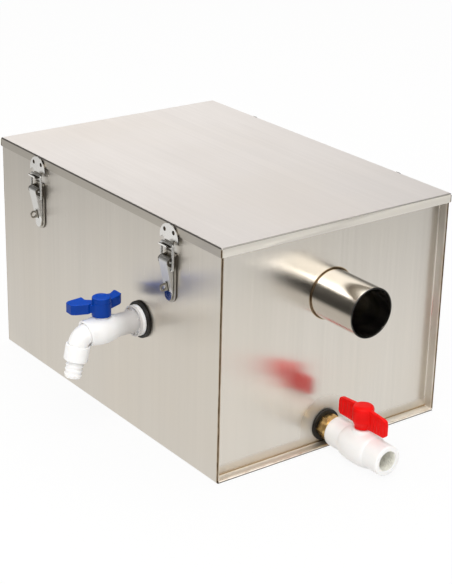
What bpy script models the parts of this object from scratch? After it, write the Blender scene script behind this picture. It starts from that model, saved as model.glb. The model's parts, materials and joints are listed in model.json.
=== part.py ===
"""Under-sink grease trap: a folded stainless tank with a lift-off lid held by four toggle latches.

A side tap with a swivel hose spout draws off grease, and a ball valve at the foot of the outlet
end drains the tank. Inside are a strainer basket on rails, two baffles and a dip pipe.
Frame: +X towards the outlet end, -Y towards the tap side, +Z up. The origin is at the middle of
the tank's underside. Lengths are in metres.
"""
import math

import bmesh
import bpy
from mathutils import Matrix, Vector

MM = 0.001

# Overall tank and sheet
TANK_LENGTH = 400 * MM
TANK_WIDTH = 280 * MM
TANK_HEIGHT = 240 * MM
SHEET = 1.2 * MM
FOLD_RADIUS = 2.2 * MM
FIT = 0.3 * MM
FLANGE = 12 * MM
PANEL_RECESS = 10 * MM

# Lid and its gasket
LID_GAP = 0.3 * MM
LID_SKIRT = 9.5 * MM
LID_ROUNDING = 1.6 * MM
GASKET_THICKNESS = 2.4 * MM
GASKET_WIDTH = 9 * MM

# Waste pipes
PIPE_RADIUS = 25.4 * MM
PIPE_WALL = 1.5 * MM
PIPE_REACH = 59 * MM
PIPE_STUB = 14 * MM
OUTLET_HEIGHT = 161 * MM
INLET_HEIGHT = 170 * MM
DIP_LEAD = 4 * MM
DIP_BEND = 34 * MM
DIP_END_HEIGHT = 55 * MM

# Baffles, rails and basket
INLET_BAFFLE_FROM_END = 138 * MM
OUTLET_BAFFLE_FROM_END = 100 * MM
BAFFLE_FOOT = 35 * MM
BAFFLE_HEADROOM = 24.1 * MM
BAFFLE_FLANGE = 10 * MM
BAFFLE_SLOT = 24 * MM
BAFFLE_SLOT_FOOT = 14 * MM
BAFFLE_SLOT_PITCH = 49.8 * MM
RAIL_HEIGHT = 138 * MM
RAIL_LEG = 14 * MM
BASKET_LENGTH = 88 * MM
BASKET_SIDE_CLEARANCE = 6.5 * MM
BASKET_DEPTH = 92 * MM
BASKET_FROM_END = 72 * MM
BASKET_RIM = 10 * MM
BASKET_END_RIM = 6 * MM
BASKET_SLOT = 4 * MM
BASKET_SLOT_HEIGHT = 57 * MM
BASKET_SLOT_FOOT = 13 * MM
BASKET_SLOT_PITCH = 18.88 * MM
BASKET_SLOT_MARGIN = 15 * MM
BASKET_FLOOR_SLOT = 70 * MM
BASKET_HANDLE_RADIUS = 2.5 * MM
BASKET_HANDLE_RISE = 44 * MM
BASKET_HANDLE_HOLD = 18 * MM

# Plastic tap on the long side
TAP_FROM_BAFFLE = 30 * MM
TAP_Z = 124 * MM
TAP_THREAD_RADIUS = 10.3 * MM
TAP_THREAD_LENGTH = 24 * MM
TAP_BORE = 6.5 * MM
TAP_FLANGE_RADIUS = 15.7 * MM
TAP_FLANGE_THICKNESS = 3 * MM
TAP_RIM_HEIGHT = 3.4 * MM
TAP_RIM_WALL = 1.3 * MM
TAP_RIB_THICKNESS = 2.2 * MM
TAP_NECK_RADIUS = 11.3 * MM
TAP_BULGE_RADIUS = 14.5 * MM
TAP_MOUTH_RADIUS = 12.6 * MM
TAP_BALL_OUT = 45.5 * MM
TAP_MOUTH_OUT = 64 * MM
TAP_BALL_RADIUS = 9.5 * MM
TAP_CHAMBER = 10.4 * MM
TAP_COLLAR_RADIUS = 7.3 * MM
TAP_COLLAR_TOP = 17 * MM
NOSE_OUT = 69.6 * MM
NOSE_TILT = math.radians(12.5)
NOSE_BEND = 11 * MM
SPOUT_BORE = 6.2 * MM
NUT_RADIUS = 12.1 * MM
NUT_START = 9.6 * MM
NUT_LENGTH = 16.2 * MM
NUT_SOCKET = 12 * MM
SPOUT_IN_NUT = 8 * MM
TAIL_RADIUS = 8.2 * MM
TAIL_BORE = 5.2 * MM
TAIL_END = 43 * MM

# Blue handle of the tap
HANDLE_HUB_RADIUS = 9.5 * MM
HANDLE_BASE = 15 * MM
HANDLE_WING_FOOT = 20.4 * MM
HANDLE_WING_TOP = 29 * MM
HANDLE_PAD_RISE = 0.9 * MM
HANDLE_PAD_HALF = 28.5 * MM
HANDLE_PAD_START = 10 * MM
HANDLE_PAD_FRONT = -7 * MM
HANDLE_PAD_BACK = -20 * MM
CAP_RADIUS = 8.9 * MM
CAP_TOP = 34 * MM

# Drain valve on the outlet end
VALVE_Y = 0 * MM
VALVE_Z = 19.8 * MM
VALVE_THREAD_RADIUS = 10.3 * MM
VALVE_BORE = 7.2 * MM
VALVE_WASHER_RADIUS = 15.9 * MM
HEX_FLATS = 26 * MM
HEX_THICKNESS = 10 * MM
NIPPLE_COLLAR_RADIUS = 12.2 * MM
VALVE_START = 17.6 * MM
VALVE_LENGTH = 77 * MM
VALVE_SOCKET_DEPTH = 13 * MM
VALVE_SOCKET_RADIUS = 15.4 * MM
VALVE_BULGE_RADIUS = 18.6 * MM
VALVE_NECK_RADIUS = 10 * MM
VALVE_NECK_TOP = 19.8 * MM
VALVE_BALL_RADIUS = 9.6 * MM
VALVE_CHAMBER = 10.4 * MM
RETAINER_LENGTH = 8 * MM
LEVER_BASE_RADIUS = 8.3 * MM
LEVER_TOP_RADIUS = 11.2 * MM
LEVER_FOOT = 20.4 * MM
LEVER_TOP = 44.5 * MM
LEVER_REACH = 34 * MM
LEVER_THICKNESS = 4.4 * MM

# Washers and lock nuts, one set on each fitting
WASHER_RADIUS = 18.8 * MM
WASHER_THICKNESS = 3 * MM
INNER_WASHER_RADIUS = 15.2 * MM
INNER_WASHER_THICKNESS = 2.5 * MM
NUT_FLATS = 27 * MM
NUT_THICKNESS = 7 * MM
SEAT_BACK = 1.2 * MM
STEM_RADIUS = 3.5 * MM
STEM_SHOULDER = 1.4 * MM
STEM_SQUARE = 4.8 * MM

# Toggle latches; their outlines are measured from the lever's pin, outward and upward
LATCH_SPACING = 242 * MM
LATCH_DROP = 36.5 * MM
LATCH_PIN_OUT = 6.1 * MM
LATCH_SHEET = 1.2 * MM
KEEPER_WIDTH = 30 * MM
KEEPER_TOP_GAP = 0.6 * MM
KEEPER_HOLE_RADIUS = 2.2 * MM
KEEPER_HOLE_PITCH = 14.5 * MM
HOOK_WIDTH = 13 * MM
HOOK_INNER_WIDTH = 6.3 * MM
BAR_RISE = 17 * MM
BAIL_WIRE = 1.2 * MM
BAIL_HALF_WIDTH = 9.4 * MM
BAIL_PIN_DROP = 8.5 * MM
BAIL_PIN_IN = 1.3 * MM
LEVER_HALF_WIDTH = 6.6 * MM
LEVER_SHEET = 1 * MM
LEVER_LENGTH = 41 * MM
KNUCKLE_RADIUS = 4 * MM
PIN_RADIUS = 1.3 * MM
BASE_WIDTH = 20 * MM
BASE_DROP = 43 * MM
BASE_RISE = 8.5 * MM
EYE_DROP = 26.5 * MM
EYE_RADIUS = 4.4 * MM
EYE_HOLE = 2.5 * MM
EYE_THICKNESS = 1.6 * MM
EYE_OUT = 3.4 * MM

# Worked out from the sizes above
HALF_LENGTH = TANK_LENGTH / 2
HALF_WIDTH = TANK_WIDTH / 2
RIM_Z = TANK_HEIGHT - SHEET - GASKET_THICKNESS - FIT
PANEL_X = HALF_LENGTH - PANEL_RECESS
INSIDE_Y = HALF_WIDTH - SHEET
INLET_BAFFLE_X = INLET_BAFFLE_FROM_END - HALF_LENGTH
OUTLET_BAFFLE_X = HALF_LENGTH - OUTLET_BAFFLE_FROM_END
TAP_X = OUTLET_BAFFLE_X - TAP_FROM_BAFFLE
BAFFLE_TOP = RIM_Z - BAFFLE_HEADROOM
BASKET_X = BASKET_FROM_END - HALF_LENGTH
BASKET_HALF_WIDTH = INSIDE_Y - FIT - RAIL_LEG - BASKET_SIDE_CLEARANCE

PARTS = bpy.data.collections.new("grease_trap")
CUTTERS = bpy.data.collections.new("cutters")
ALONG_X = Matrix.Rotation(math.pi / 2, 4, "Y")
ALONG_MINUS_Y = Matrix.Rotation(math.pi / 2, 4, "X")
SIDEWAYS = Matrix(((0, 0, -1, 0), (-1, 0, 0, 0), (0, 1, 0, 0), (0, 0, 0, 1)))


def clear_scene():
    for item in list(bpy.data.objects):
        bpy.data.objects.remove(item, do_unlink=True)
    for group in (PARTS, CUTTERS):
        bpy.context.scene.collection.children.link(group)


def finish(name, colour, roughness, metallic):
    """Make a Principled material."""
    result = bpy.data.materials.new(name)
    result.use_nodes = True
    shader = result.node_tree.nodes["Principled BSDF"]
    shader.inputs["Base Color"].default_value = (*colour, 1)
    shader.inputs["Roughness"].default_value = roughness
    shader.inputs["Metallic"].default_value = metallic
    return result


STEEL = finish("brushed_stainless", (0.62, 0.6, 0.57), 0.32, 1)
BRIGHT = finish("polished_stainless", (0.72, 0.71, 0.7), 0.16, 1)
BRASS = finish("cast_brass", (0.6, 0.42, 0.14), 0.3, 1)
RUBBER = finish("black_rubber", (0.015, 0.015, 0.015), 0.6, 0)
WHITE = finish("white_plastic", (0.86, 0.86, 0.84), 0.3, 0)
BLUE = finish("blue_plastic", (0.01, 0.05, 0.42), 0.3, 0)
RED = finish("red_plastic", (0.8, 0.01, 0.01), 0.3, 0)
SEAL = finish("seat_plastic", (0.9, 0.9, 0.9), 0.4, 0)


def add(name, data, material, matrix):
    """Put a mesh or curve in the scene, as a part if it has a material and as a cutter if not."""
    item = bpy.data.objects.new(name, data)
    item.matrix_world = matrix
    if material:
        data.materials.append(material)
        PARTS.objects.link(item)
    else:
        item.hide_render = True
        item.display_type = "WIRE"
        CUTTERS.objects.link(item)
    return item


def from_bmesh(name, shape, material, matrix):
    data = bpy.data.meshes.new(name)
    shape.to_mesh(data)
    shape.free()
    return add(name, data, material, matrix)


def block(name, low, high, material=None, matrix=Matrix()):
    """A box between two corners."""
    shape = bmesh.new()
    bmesh.ops.create_cube(shape, size=1)
    low, high = Vector(low), Vector(high)
    bmesh.ops.scale(shape, vec=high - low, verts=shape.verts)
    bmesh.ops.translate(shape, vec=(low + high) / 2, verts=shape.verts)
    return from_bmesh(name, shape, material, matrix)


def turned(name, profile, material=None, matrix=Matrix(), steps=24, closed=False):
    """Turn a profile of (radius, height) about Z; it runs top to bottom on its outer side."""
    data = bpy.data.meshes.new(name)
    points = [(radius, 0, height) for radius, height in profile]
    edges = [(i, i + 1) for i in range(len(points) - 1)]
    if closed:
        edges.append((len(points) - 1, 0))
    data.from_pydata(points, edges, [])
    item = add(name, data, material, matrix)
    screw = item.modifiers.new("turn", "SCREW")
    screw.steps = steps
    screw.render_steps = steps
    screw.use_merge_vertices = True
    screw.merge_threshold = 0.00001
    screw.use_smooth_shade = False
    return item


def rod(name, radius, low, high, material=None, matrix=Matrix(), steps=24):
    return turned(name, [(0, high), (radius, high), (radius, low), (0, low)], material, matrix, steps)


def ring(name, radius, bore, low, high, material=None, matrix=Matrix(), steps=24):
    profile = [(radius, high), (radius, low), (bore, low), (bore, high)]
    return turned(name, profile, material, matrix, steps, closed=True)


def arc(centre, radius, start, end, steps):
    """Points on an arc; angles in degrees."""
    points = []
    for i in range(steps + 1):
        angle = math.radians(start + (end - start) * i / steps)
        points.append((centre[0] + radius * math.cos(angle), centre[1] + radius * math.sin(angle)))
    return points


def bent_line(corners, radius, steps=3):
    """Round the inner corners of an open polyline to one radius."""
    path = [Vector(corners[0])]
    for before, corner, after in zip(corners, corners[1:], corners[2:]):
        before, corner, after = Vector(before), Vector(corner), Vector(after)
        back = (before - corner).normalized()
        onward = (after - corner).normalized()
        half = back.angle(onward) / 2
        middle = corner + (back + onward).normalized() * radius / math.sin(half)
        first = corner + back * radius / math.tan(half) - middle
        last = corner + onward * radius / math.tan(half) - middle
        for i in range(steps + 1):
            path.append(middle + first.lerp(last, i / steps).normalized() * radius)
    path.append(Vector(corners[-1]))
    return path


def plate(name, outline, low, high, material=None, matrix=Matrix(), holes=()):
    """Extrude a flat outline, with any holes, between two heights."""
    data = bpy.data.curves.new(name, "CURVE")
    data.dimensions = "2D"
    data.fill_mode = "BOTH"
    data.extrude = (high - low) / 2
    for loop in (outline, *holes):
        spline = data.splines.new("POLY")
        spline.points.add(len(loop) - 1)
        for point, place in zip(spline.points, loop):
            point.co = (place[0], place[1], 0, 1)
        spline.use_cyclic_u = True
    item = add(name, data, material, matrix @ Matrix.Translation((0, 0, (low + high) / 2)))
    return as_mesh(item, material)


def as_mesh(curve, material):
    """Swap a curve for the closed mesh that it makes."""
    bpy.context.view_layer.update()
    graph = bpy.context.evaluated_depsgraph_get()
    data = bpy.data.meshes.new_from_object(curve.evaluated_get(graph))
    data.materials.clear()
    shape = bmesh.new()
    shape.from_mesh(data)
    bmesh.ops.remove_doubles(shape, verts=shape.verts, dist=0.000005)
    bmesh.ops.recalc_face_normals(shape, faces=shape.faces)
    shape.to_mesh(data)
    shape.free()
    name = curve.name
    matrix = curve.matrix_world.copy()
    bpy.data.objects.remove(curve, do_unlink=True)
    return add(name, data, material, matrix)


def wire(name, path, radius, material=None, matrix=Matrix(), sides=12):
    """A round bar or a solid core along a path."""
    data = bpy.data.curves.new(name, "CURVE")
    data.dimensions = "3D"
    data.bevel_depth = radius
    data.bevel_resolution = (sides - 4) // 2
    data.use_fill_caps = True
    spline = data.splines.new("POLY")
    spline.points.add(len(path) - 1)
    for point, place in zip(spline.points, path):
        point.co = (*place, 1)
    return as_mesh(add(name, data, material, matrix), material)


def folded(name, path, stations, thickness, material=None, matrix=Matrix(), keep=None):
    """Sheet folded along a flat path (y, z) and run through stations in x; it thickens inwards."""
    shape = bmesh.new()
    rows = [[shape.verts.new((x, *point)) for point in path] for x in stations]
    for row, (here, there) in enumerate(zip(rows, rows[1:])):
        for i in range(len(path) - 1):
            if keep is None or keep(row, path[i], path[i + 1]):
                shape.faces.new((here[i], here[i + 1], there[i + 1], there[i]))
    loose = [vert for vert in shape.verts if not vert.link_faces]
    bmesh.ops.delete(shape, geom=loose, context="VERTS")
    return thicken(from_bmesh(name, shape, material, matrix), thickness)


def thicken(item, thickness):
    solid = item.modifiers.new("sheet", "SOLIDIFY")
    solid.thickness = thickness
    solid.offset = -1
    solid.use_even_offset = True
    return item


def tray(name, low, high, open_side, rounding, material, matrix=Matrix()):
    """A folded open box: one side left out, its edges rounded."""
    shape = bmesh.new()
    bmesh.ops.create_cube(shape, size=1)
    low, high = Vector(low), Vector(high)
    bmesh.ops.scale(shape, vec=high - low, verts=shape.verts)
    bmesh.ops.translate(shape, vec=(low + high) / 2, verts=shape.verts)
    shape.normal_update()
    side = max(shape.faces, key=lambda face: face.normal.dot(Vector(open_side)))
    bmesh.ops.delete(shape, geom=[side], context="FACES_ONLY")
    edges = [edge for edge in shape.edges if len(edge.link_faces) == 2]
    bmesh.ops.bevel(shape, geom=edges, offset=rounding, segments=2, profile=0.5, affect="EDGES")
    return from_bmesh(name, shape, material, matrix)


def combine(item, other, operation):
    change = item.modifiers.new(operation.lower(), "BOOLEAN")
    change.operation = operation
    change.solver = "EXACT"
    change.object = other
    return item


def cut(item, *others):
    for other in others:
        combine(item, other, "DIFFERENCE")
    return item


def join(item, *others):
    for other in others:
        combine(item, other, "UNION")
    return item


def hexagon(flats, turn=0):
    corner = flats / math.sqrt(3)
    return [(corner * math.cos(turn + math.pi / 3 * i), corner * math.sin(turn + math.pi / 3 * i))
            for i in range(6)]


# Tank


def make_wrap():
    """One sheet folded up into both long sides, with a ledge turned in at the top for the lid."""
    inner = HALF_WIDTH - FLANGE
    corners = [(-inner, RIM_Z), (-HALF_WIDTH, RIM_Z), (-HALF_WIDTH, 0), (HALF_WIDTH, 0),
               (HALF_WIDTH, RIM_Z), (inner, RIM_Z)]
    ledge_end = PANEL_X - SHEET - FIT
    below_fold = RIM_Z - FOLD_RADIUS + FIT

    def keep(row, here, there):
        return row == 1 or min(here[1], there[1]) < below_fold and max(here[1], there[1]) < below_fold

    stations = (-HALF_LENGTH, -ledge_end, ledge_end, HALF_LENGTH)
    wrap = folded("tank_wrap", bent_line(corners, FOLD_RADIUS), stations, SHEET, STEEL, keep=keep)
    hole = rod("tap_hole", TAP_THREAD_RADIUS + FIT, -10 * MM, 10 * MM,
               matrix=Matrix.Translation((TAP_X, -HALF_WIDTH, TAP_Z)) @ ALONG_MINUS_Y)
    return cut(wrap, hole)


def make_end_panel(name, pipe_height, turn, drain):
    """A tray welded in with its rim outward, so the end face stands back from the tank's edge."""
    reach = INSIDE_Y - FIT
    panel = tray(name, (PANEL_X - SHEET, -reach, SHEET + FIT), (HALF_LENGTH, reach, RIM_Z), (1, 0, 0),
                 FOLD_RADIUS, STEEL, turn)
    thicken(panel, SHEET)
    hole = rod(name + "_pipe_hole", PIPE_RADIUS + FIT, -10 * MM, 10 * MM,
               matrix=turn @ Matrix.Translation((PANEL_X, 0, pipe_height)) @ ALONG_X, steps=32)
    cut(panel, hole)
    if drain:
        drain_hole = rod(name + "_drain_hole", VALVE_THREAD_RADIUS + FIT, -8 * MM, 8 * MM,
                         matrix=Matrix.Translation((PANEL_X, VALVE_Y, VALVE_Z)) @ ALONG_X)
        cut(panel, drain_hole)
    return panel


def make_lid():
    spread = SHEET + LID_GAP
    low = (-HALF_LENGTH - spread, -HALF_WIDTH - spread, TANK_HEIGHT - LID_SKIRT)
    high = (HALF_LENGTH + spread, HALF_WIDTH + spread, TANK_HEIGHT)
    return thicken(tray("lid", low, high, (0, 0, -1), LID_ROUNDING, STEEL), SHEET)


def make_gasket():
    def loop(x, y):
        return [(-x, -y), (x, -y), (x, y), (-x, y)]

    outer = (HALF_LENGTH - FIT, INSIDE_Y - FIT)
    inner = (outer[0] - GASKET_WIDTH, outer[1] - GASKET_WIDTH)
    low = RIM_Z + FIT
    high = TANK_HEIGHT - SHEET - FIT
    return plate("lid_gasket", loop(*outer), low, high, RUBBER, holes=[loop(*inner)])


# Waste pipes and what the tank holds


def make_pipes():
    bore = PIPE_RADIUS - PIPE_WALL
    start = PANEL_X - SHEET - PIPE_STUB
    end = PANEL_X + PIPE_REACH
    outlet = Matrix.Translation((0, 0, OUTLET_HEIGHT)) @ ALONG_X
    ring("outlet_pipe", PIPE_RADIUS, bore, start, end, BRIGHT, outlet, 32)
    inlet = Matrix.Rotation(math.pi, 4, "Z") @ Matrix.Translation((0, 0, INLET_HEIGHT)) @ ALONG_X
    ring("inlet_pipe", PIPE_RADIUS, bore, start, end, BRIGHT, inlet, 32)
    mouth = start - FIT
    corner = mouth - DIP_LEAD
    middle = (corner, OUTLET_HEIGHT - DIP_BEND)
    bend = [(x, 0, z) for x, z in arc(middle, DIP_BEND, 90, 180, 6)]
    path = [(mouth, 0, OUTLET_HEIGHT), *bend, (corner - DIP_BEND, 0, DIP_END_HEIGHT)]
    core = [(mouth + 5 * MM, 0, OUTLET_HEIGHT), *bend, (corner - DIP_BEND, 0, DIP_END_HEIGHT - 5 * MM)]
    dip = wire("outlet_dip_pipe", path, PIPE_RADIUS, STEEL, sides=16)
    cut(dip, wire("dip_bore", core, bore, sides=16))


def make_baffles():
    """Two plates with side tabs; water passes under the first and through slots in the second."""
    reach = INSIDE_Y - FIT
    upright = Matrix(((0, 1, 0, 0), (0, 0, 1, 0), (1, 0, 0, 0), (0, 0, 0, 1)))

    def plan(x):
        tab = x + BAFFLE_FLANGE
        return bent_line([(tab, reach), (x, reach), (x, -reach), (tab, -reach)], FOLD_RADIUS)

    folded("inlet_baffle", plan(INLET_BAFFLE_X), (BAFFLE_FOOT, BAFFLE_TOP), SHEET, STEEL, upright)
    foot = FOLD_RADIUS + FIT
    outlet = folded("outlet_baffle", plan(OUTLET_BAFFLE_X), (foot, BAFFLE_TOP), SHEET, STEEL, upright)
    for i in range(-2, 3):
        middle = i * BAFFLE_SLOT_PITCH
        low = (OUTLET_BAFFLE_X - 5 * MM, middle - BAFFLE_SLOT / 2, BAFFLE_SLOT_FOOT)
        high = (OUTLET_BAFFLE_X + 5 * MM, middle + BAFFLE_SLOT / 2, BAFFLE_FOOT)
        cut(outlet, block("baffle_slot", low, high))


def make_rails():
    """An angle along each long wall, on which the basket's rim rests."""
    wall = INSIDE_Y - FIT
    length = BASKET_LENGTH + 2 * BASKET_RIM
    stations = (BASKET_X - length / 2, BASKET_X + length / 2)
    path = bent_line([(-wall, RAIL_HEIGHT - RAIL_LEG), (-wall, RAIL_HEIGHT),
                      (-wall + RAIL_LEG, RAIL_HEIGHT)], FOLD_RADIUS)
    mirrored = [Vector((-y, z)) for y, z in reversed(path)]
    folded("basket_rail_front", list(reversed(path)), stations, SHEET, STEEL)
    folded("basket_rail_back", list(reversed(mirrored)), stations, SHEET, STEEL)


def slot_grid(name, axis, columns, rows, size, spacing, centre, reach):
    """Bars along one axis, in rows and columns, that cut slots through facing walls."""
    shape = bmesh.new()
    across = {"X": (1, 2), "Y": (0, 2), "Z": (0, 1)}[axis]
    along = "XYZ".index(axis)
    for column in range(columns):
        for row in range(rows):
            made = bmesh.ops.create_cube(shape, size=1)["verts"]
            scale = [0, 0, 0]
            scale[along] = 2 * reach
            scale[across[0]], scale[across[1]] = size
            place = list(centre)
            place[across[0]] += (column - (columns - 1) / 2) * spacing[0]
            place[across[1]] += (row - (rows - 1) / 2) * spacing[1]
            bmesh.ops.scale(shape, vec=scale, verts=made)
            bmesh.ops.translate(shape, vec=place, verts=made)
    return from_bmesh(name, shape, None, Matrix())


def make_basket():
    """A slotted box whose rim hangs on the two rails."""
    rim = RAIL_HEIGHT + FIT + SHEET
    half = (BASKET_LENGTH / 2, BASKET_HALF_WIDTH)
    floor = rim - BASKET_DEPTH
    low = Vector((BASKET_X - half[0], -half[1], floor))
    high = Vector((BASKET_X + half[0], half[1], rim))
    spread = Vector((BASKET_END_RIM, BASKET_RIM, 0))
    wall = Vector((SHEET, SHEET, SHEET))
    basket = block("strainer_basket", low, high, STEEL)
    join(basket, block("basket_rim", low - spread + Vector((0, 0, BASKET_DEPTH - SHEET)), high + spread))
    cut(basket, block("basket_inside", low + wall, high - wall + Vector((0, 0, 5 * MM))))
    middle = (BASKET_X, 0, floor + BASKET_SLOT_FOOT + BASKET_SLOT_HEIGHT / 2)
    pitch = BASKET_SLOT_PITCH
    along, across = (1 + int(2 * (reach - BASKET_SLOT_MARGIN) / pitch) for reach in half)
    tall = (BASKET_SLOT, BASKET_SLOT_HEIGHT)
    beyond = 5 * MM
    cut(basket, slot_grid("end_slots", "X", across, 1, tall, (pitch, 0), middle, half[0] + beyond))
    cut(basket, slot_grid("side_slots", "Y", along, 1, tall, (pitch, 0), middle, half[1] + beyond))
    low = (BASKET_X, 0, floor)
    wide = (BASKET_FLOOR_SLOT, BASKET_SLOT)
    cut(basket, slot_grid("floor_slots", "Z", 1, across, wide, (0, pitch), low, beyond))
    inside = half[0] - SHEET - FIT - BASKET_HANDLE_RADIUS
    foot = rim - BASKET_HANDLE_HOLD
    top = rim + BASKET_HANDLE_RISE
    corners = [(BASKET_X - inside, 0, foot), (BASKET_X - inside, 0, top),
               (BASKET_X + inside, 0, top), (BASKET_X + inside, 0, foot)]
    wire("basket_handle", bent_line(corners, 12 * MM, 4), BASKET_HANDLE_RADIUS, BRIGHT, sides=8)


# Fittings shared by the tap and the valve


def inner_seal(prefix, frame, wall, thread, material):
    """Inside the tank: a rubber washer and a hexagonal lock nut on the fitting's thread."""
    washer_top = -wall - FIT
    washer_foot = washer_top - INNER_WASHER_THICKNESS
    ring(prefix + "_inner_washer", INNER_WASHER_RADIUS, thread + FIT, washer_foot, washer_top, RUBBER,
         frame, 20)
    nut_top = washer_foot - FIT
    nut = plate(prefix + "_lock_nut", hexagon(NUT_FLATS), nut_top - NUT_THICKNESS, nut_top, material,
                frame)
    cut(nut, rod(prefix + "_nut_bore", thread + FIT, nut_top - 2 * NUT_THICKNESS,
                 nut_top + NUT_THICKNESS, matrix=frame))


def make_ball(prefix, frame, radius, bore, lift):
    """A drilled ball with a slot in its top, turned about the frame's Z; its bore lies along local X."""
    profile = [(x, z) for x, z in arc((0, 0), radius, 90, -90, 7)]
    profile[0] = (0, radius)
    profile[-1] = (0, -radius)
    ball = turned(prefix + "_ball", profile, SEAL, frame, 14)
    hole = rod(prefix + "_ball_bore", bore, -2 * radius, 2 * radius, matrix=frame @ ALONG_X, steps=8)
    half = STEM_SQUARE / 2 - 0.6 * MM + FIT
    slot = block(prefix + "_ball_slot", (-radius, -half, lift), (radius, half, 2 * radius), None, frame)
    return cut(ball, hole, slot)


def make_seats(prefix, frame, radius, bore, chamber):
    """A cupped ring on each side of the ball."""
    cup = radius + 2 * FIT
    outer = chamber - FIT
    far = radius + SEAT_BACK
    lip = min(outer - 0.8 * MM, cup * 0.96)
    for side, turn in (("inner", ALONG_X @ Matrix.Rotation(math.pi, 4, "X")), ("outer", ALONG_X)):
        first = math.degrees(math.asin(lip / cup))
        last = math.degrees(math.asin(bore / cup))
        curve = [(cup * math.sin(math.radians(angle)), cup * math.cos(math.radians(angle)))
                 for angle in (first, (first + last) / 2, last)]
        profile = [(outer, far), (outer, curve[0][1]), *curve, (bore, far)]
        turned(prefix + "_seat_" + side, profile, SEAL, frame @ turn, 12, closed=True)


def make_stem(prefix, frame, lift, chamber, neck_top, top):
    """A tongue for the ball, a shoulder under the body's neck, a round shank and a square top."""
    wide = STEM_RADIUS + 1 * MM
    shoulder = chamber + STEM_SHOULDER
    stem = turned(prefix + "_stem", [(0, neck_top), (STEM_RADIUS, neck_top), (STEM_RADIUS, shoulder),
                                     (wide, shoulder), (wide, chamber), (0, chamber)], SEAL, frame, 12)
    half = STEM_SQUARE / 2
    thin = half - 0.6 * MM
    middle = chamber + STEM_SHOULDER / 2
    tongue = block(prefix + "_tongue", (-half, -thin, lift + FIT), (half, thin, middle), None, frame)
    square = block(prefix + "_square", (-half, -half, middle), (half, half, top), None, frame)
    return join(stem, tongue, square)


def stem_bore(name, frame, chamber, neck_top):
    """Cutter for a stem: a wide bore for its shoulder and a close one through the neck."""
    wide = STEM_RADIUS + 1 * MM + FIT
    close = STEM_RADIUS + FIT
    step = chamber + STEM_SHOULDER + FIT
    foot = chamber - 3 * MM
    top = neck_top + 5 * MM
    return turned(name, [(0, top), (close, top), (close, step), (wide, step), (wide, foot), (0, foot)],
                  None, frame, 16)


# Tap


def nose_frame():
    """At the elbow's corner, with Z up the nose's axis."""
    corner = Matrix.Translation((TAP_X, -HALF_WIDTH - NOSE_OUT, TAP_Z))
    return corner @ Matrix.Rotation(-NOSE_TILT, 4, "X")


def make_tap_body():
    """Threaded shank, flange with a rim and ribs, neck and ball housing, with a mouth square to the spout."""
    frame = Matrix.Translation((TAP_X, -HALF_WIDTH, TAP_Z)) @ ALONG_MINUS_Y
    flange = WASHER_THICKNESS + 2 * FIT
    face = flange + TAP_FLANGE_THICKNESS
    rim = TAP_FLANGE_RADIUS - TAP_RIM_WALL
    rib_top = face + TAP_RIM_HEIGHT
    shank = -SHEET - TAP_THREAD_LENGTH
    mouth = TAP_MOUTH_OUT + 6 * MM
    profile = [(TAP_BORE, mouth), (TAP_MOUTH_RADIUS, mouth), (TAP_MOUTH_RADIUS, TAP_MOUTH_OUT - 6 * MM),
               (TAP_BULGE_RADIUS - 0.7 * MM, TAP_BALL_OUT + 8 * MM),
               (TAP_BULGE_RADIUS, TAP_BALL_OUT + 3 * MM), (TAP_BULGE_RADIUS, TAP_BALL_OUT - 2 * MM),
               (TAP_BULGE_RADIUS - 0.8 * MM, TAP_BALL_OUT - 8 * MM),
               (TAP_NECK_RADIUS + 0.7 * MM, TAP_BALL_OUT - 14 * MM),
               (TAP_NECK_RADIUS, TAP_BALL_OUT - 19 * MM), (TAP_NECK_RADIUS, face), (rim, face),
               (rim, rib_top), (TAP_FLANGE_RADIUS, rib_top), (TAP_FLANGE_RADIUS, flange),
               (TAP_THREAD_RADIUS, flange), (TAP_THREAD_RADIUS, shank), (TAP_BORE, shank)]
    body = turned("tap_body", profile, WHITE, frame, closed=True)
    inner = TAP_NECK_RADIUS - 1 * MM
    outer = rim + TAP_RIM_WALL / 2
    thin = TAP_RIB_THICKNESS / 2
    for i in range(6):
        turn = frame @ Matrix.Rotation(math.pi * i / 3 + math.pi / 6, 4, "Z")
        low, high = (inner, -thin, face - 1 * MM), (outer, thin, rib_top - FIT)
        join(body, block("flange_rib", low, high, None, turn))
    chamber_start = TAP_BALL_OUT - TAP_BALL_RADIUS - SEAT_BACK - FIT
    cut(body, rod("tap_chamber", TAP_CHAMBER, chamber_start, mouth + 5 * MM, matrix=frame))
    slant = frame @ Matrix.Translation((0, 0, TAP_MOUTH_OUT - 1 * MM)) @ Matrix.Rotation(NOSE_TILT, 4, "X")
    big = 30 * MM
    cut(body, block("mouth_cut", (-big, -big, 0), (big, big, big), None, slant))
    axis = Matrix.Translation((TAP_X, -HALF_WIDTH - TAP_BALL_OUT, TAP_Z))
    collar_foot = TAP_CHAMBER + 1.1 * MM
    join(body, rod("tap_collar", TAP_COLLAR_RADIUS, collar_foot, TAP_COLLAR_TOP, matrix=axis))
    return cut(body, stem_bore("tap_stem_bore", axis, TAP_CHAMBER, TAP_COLLAR_TOP))


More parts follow.
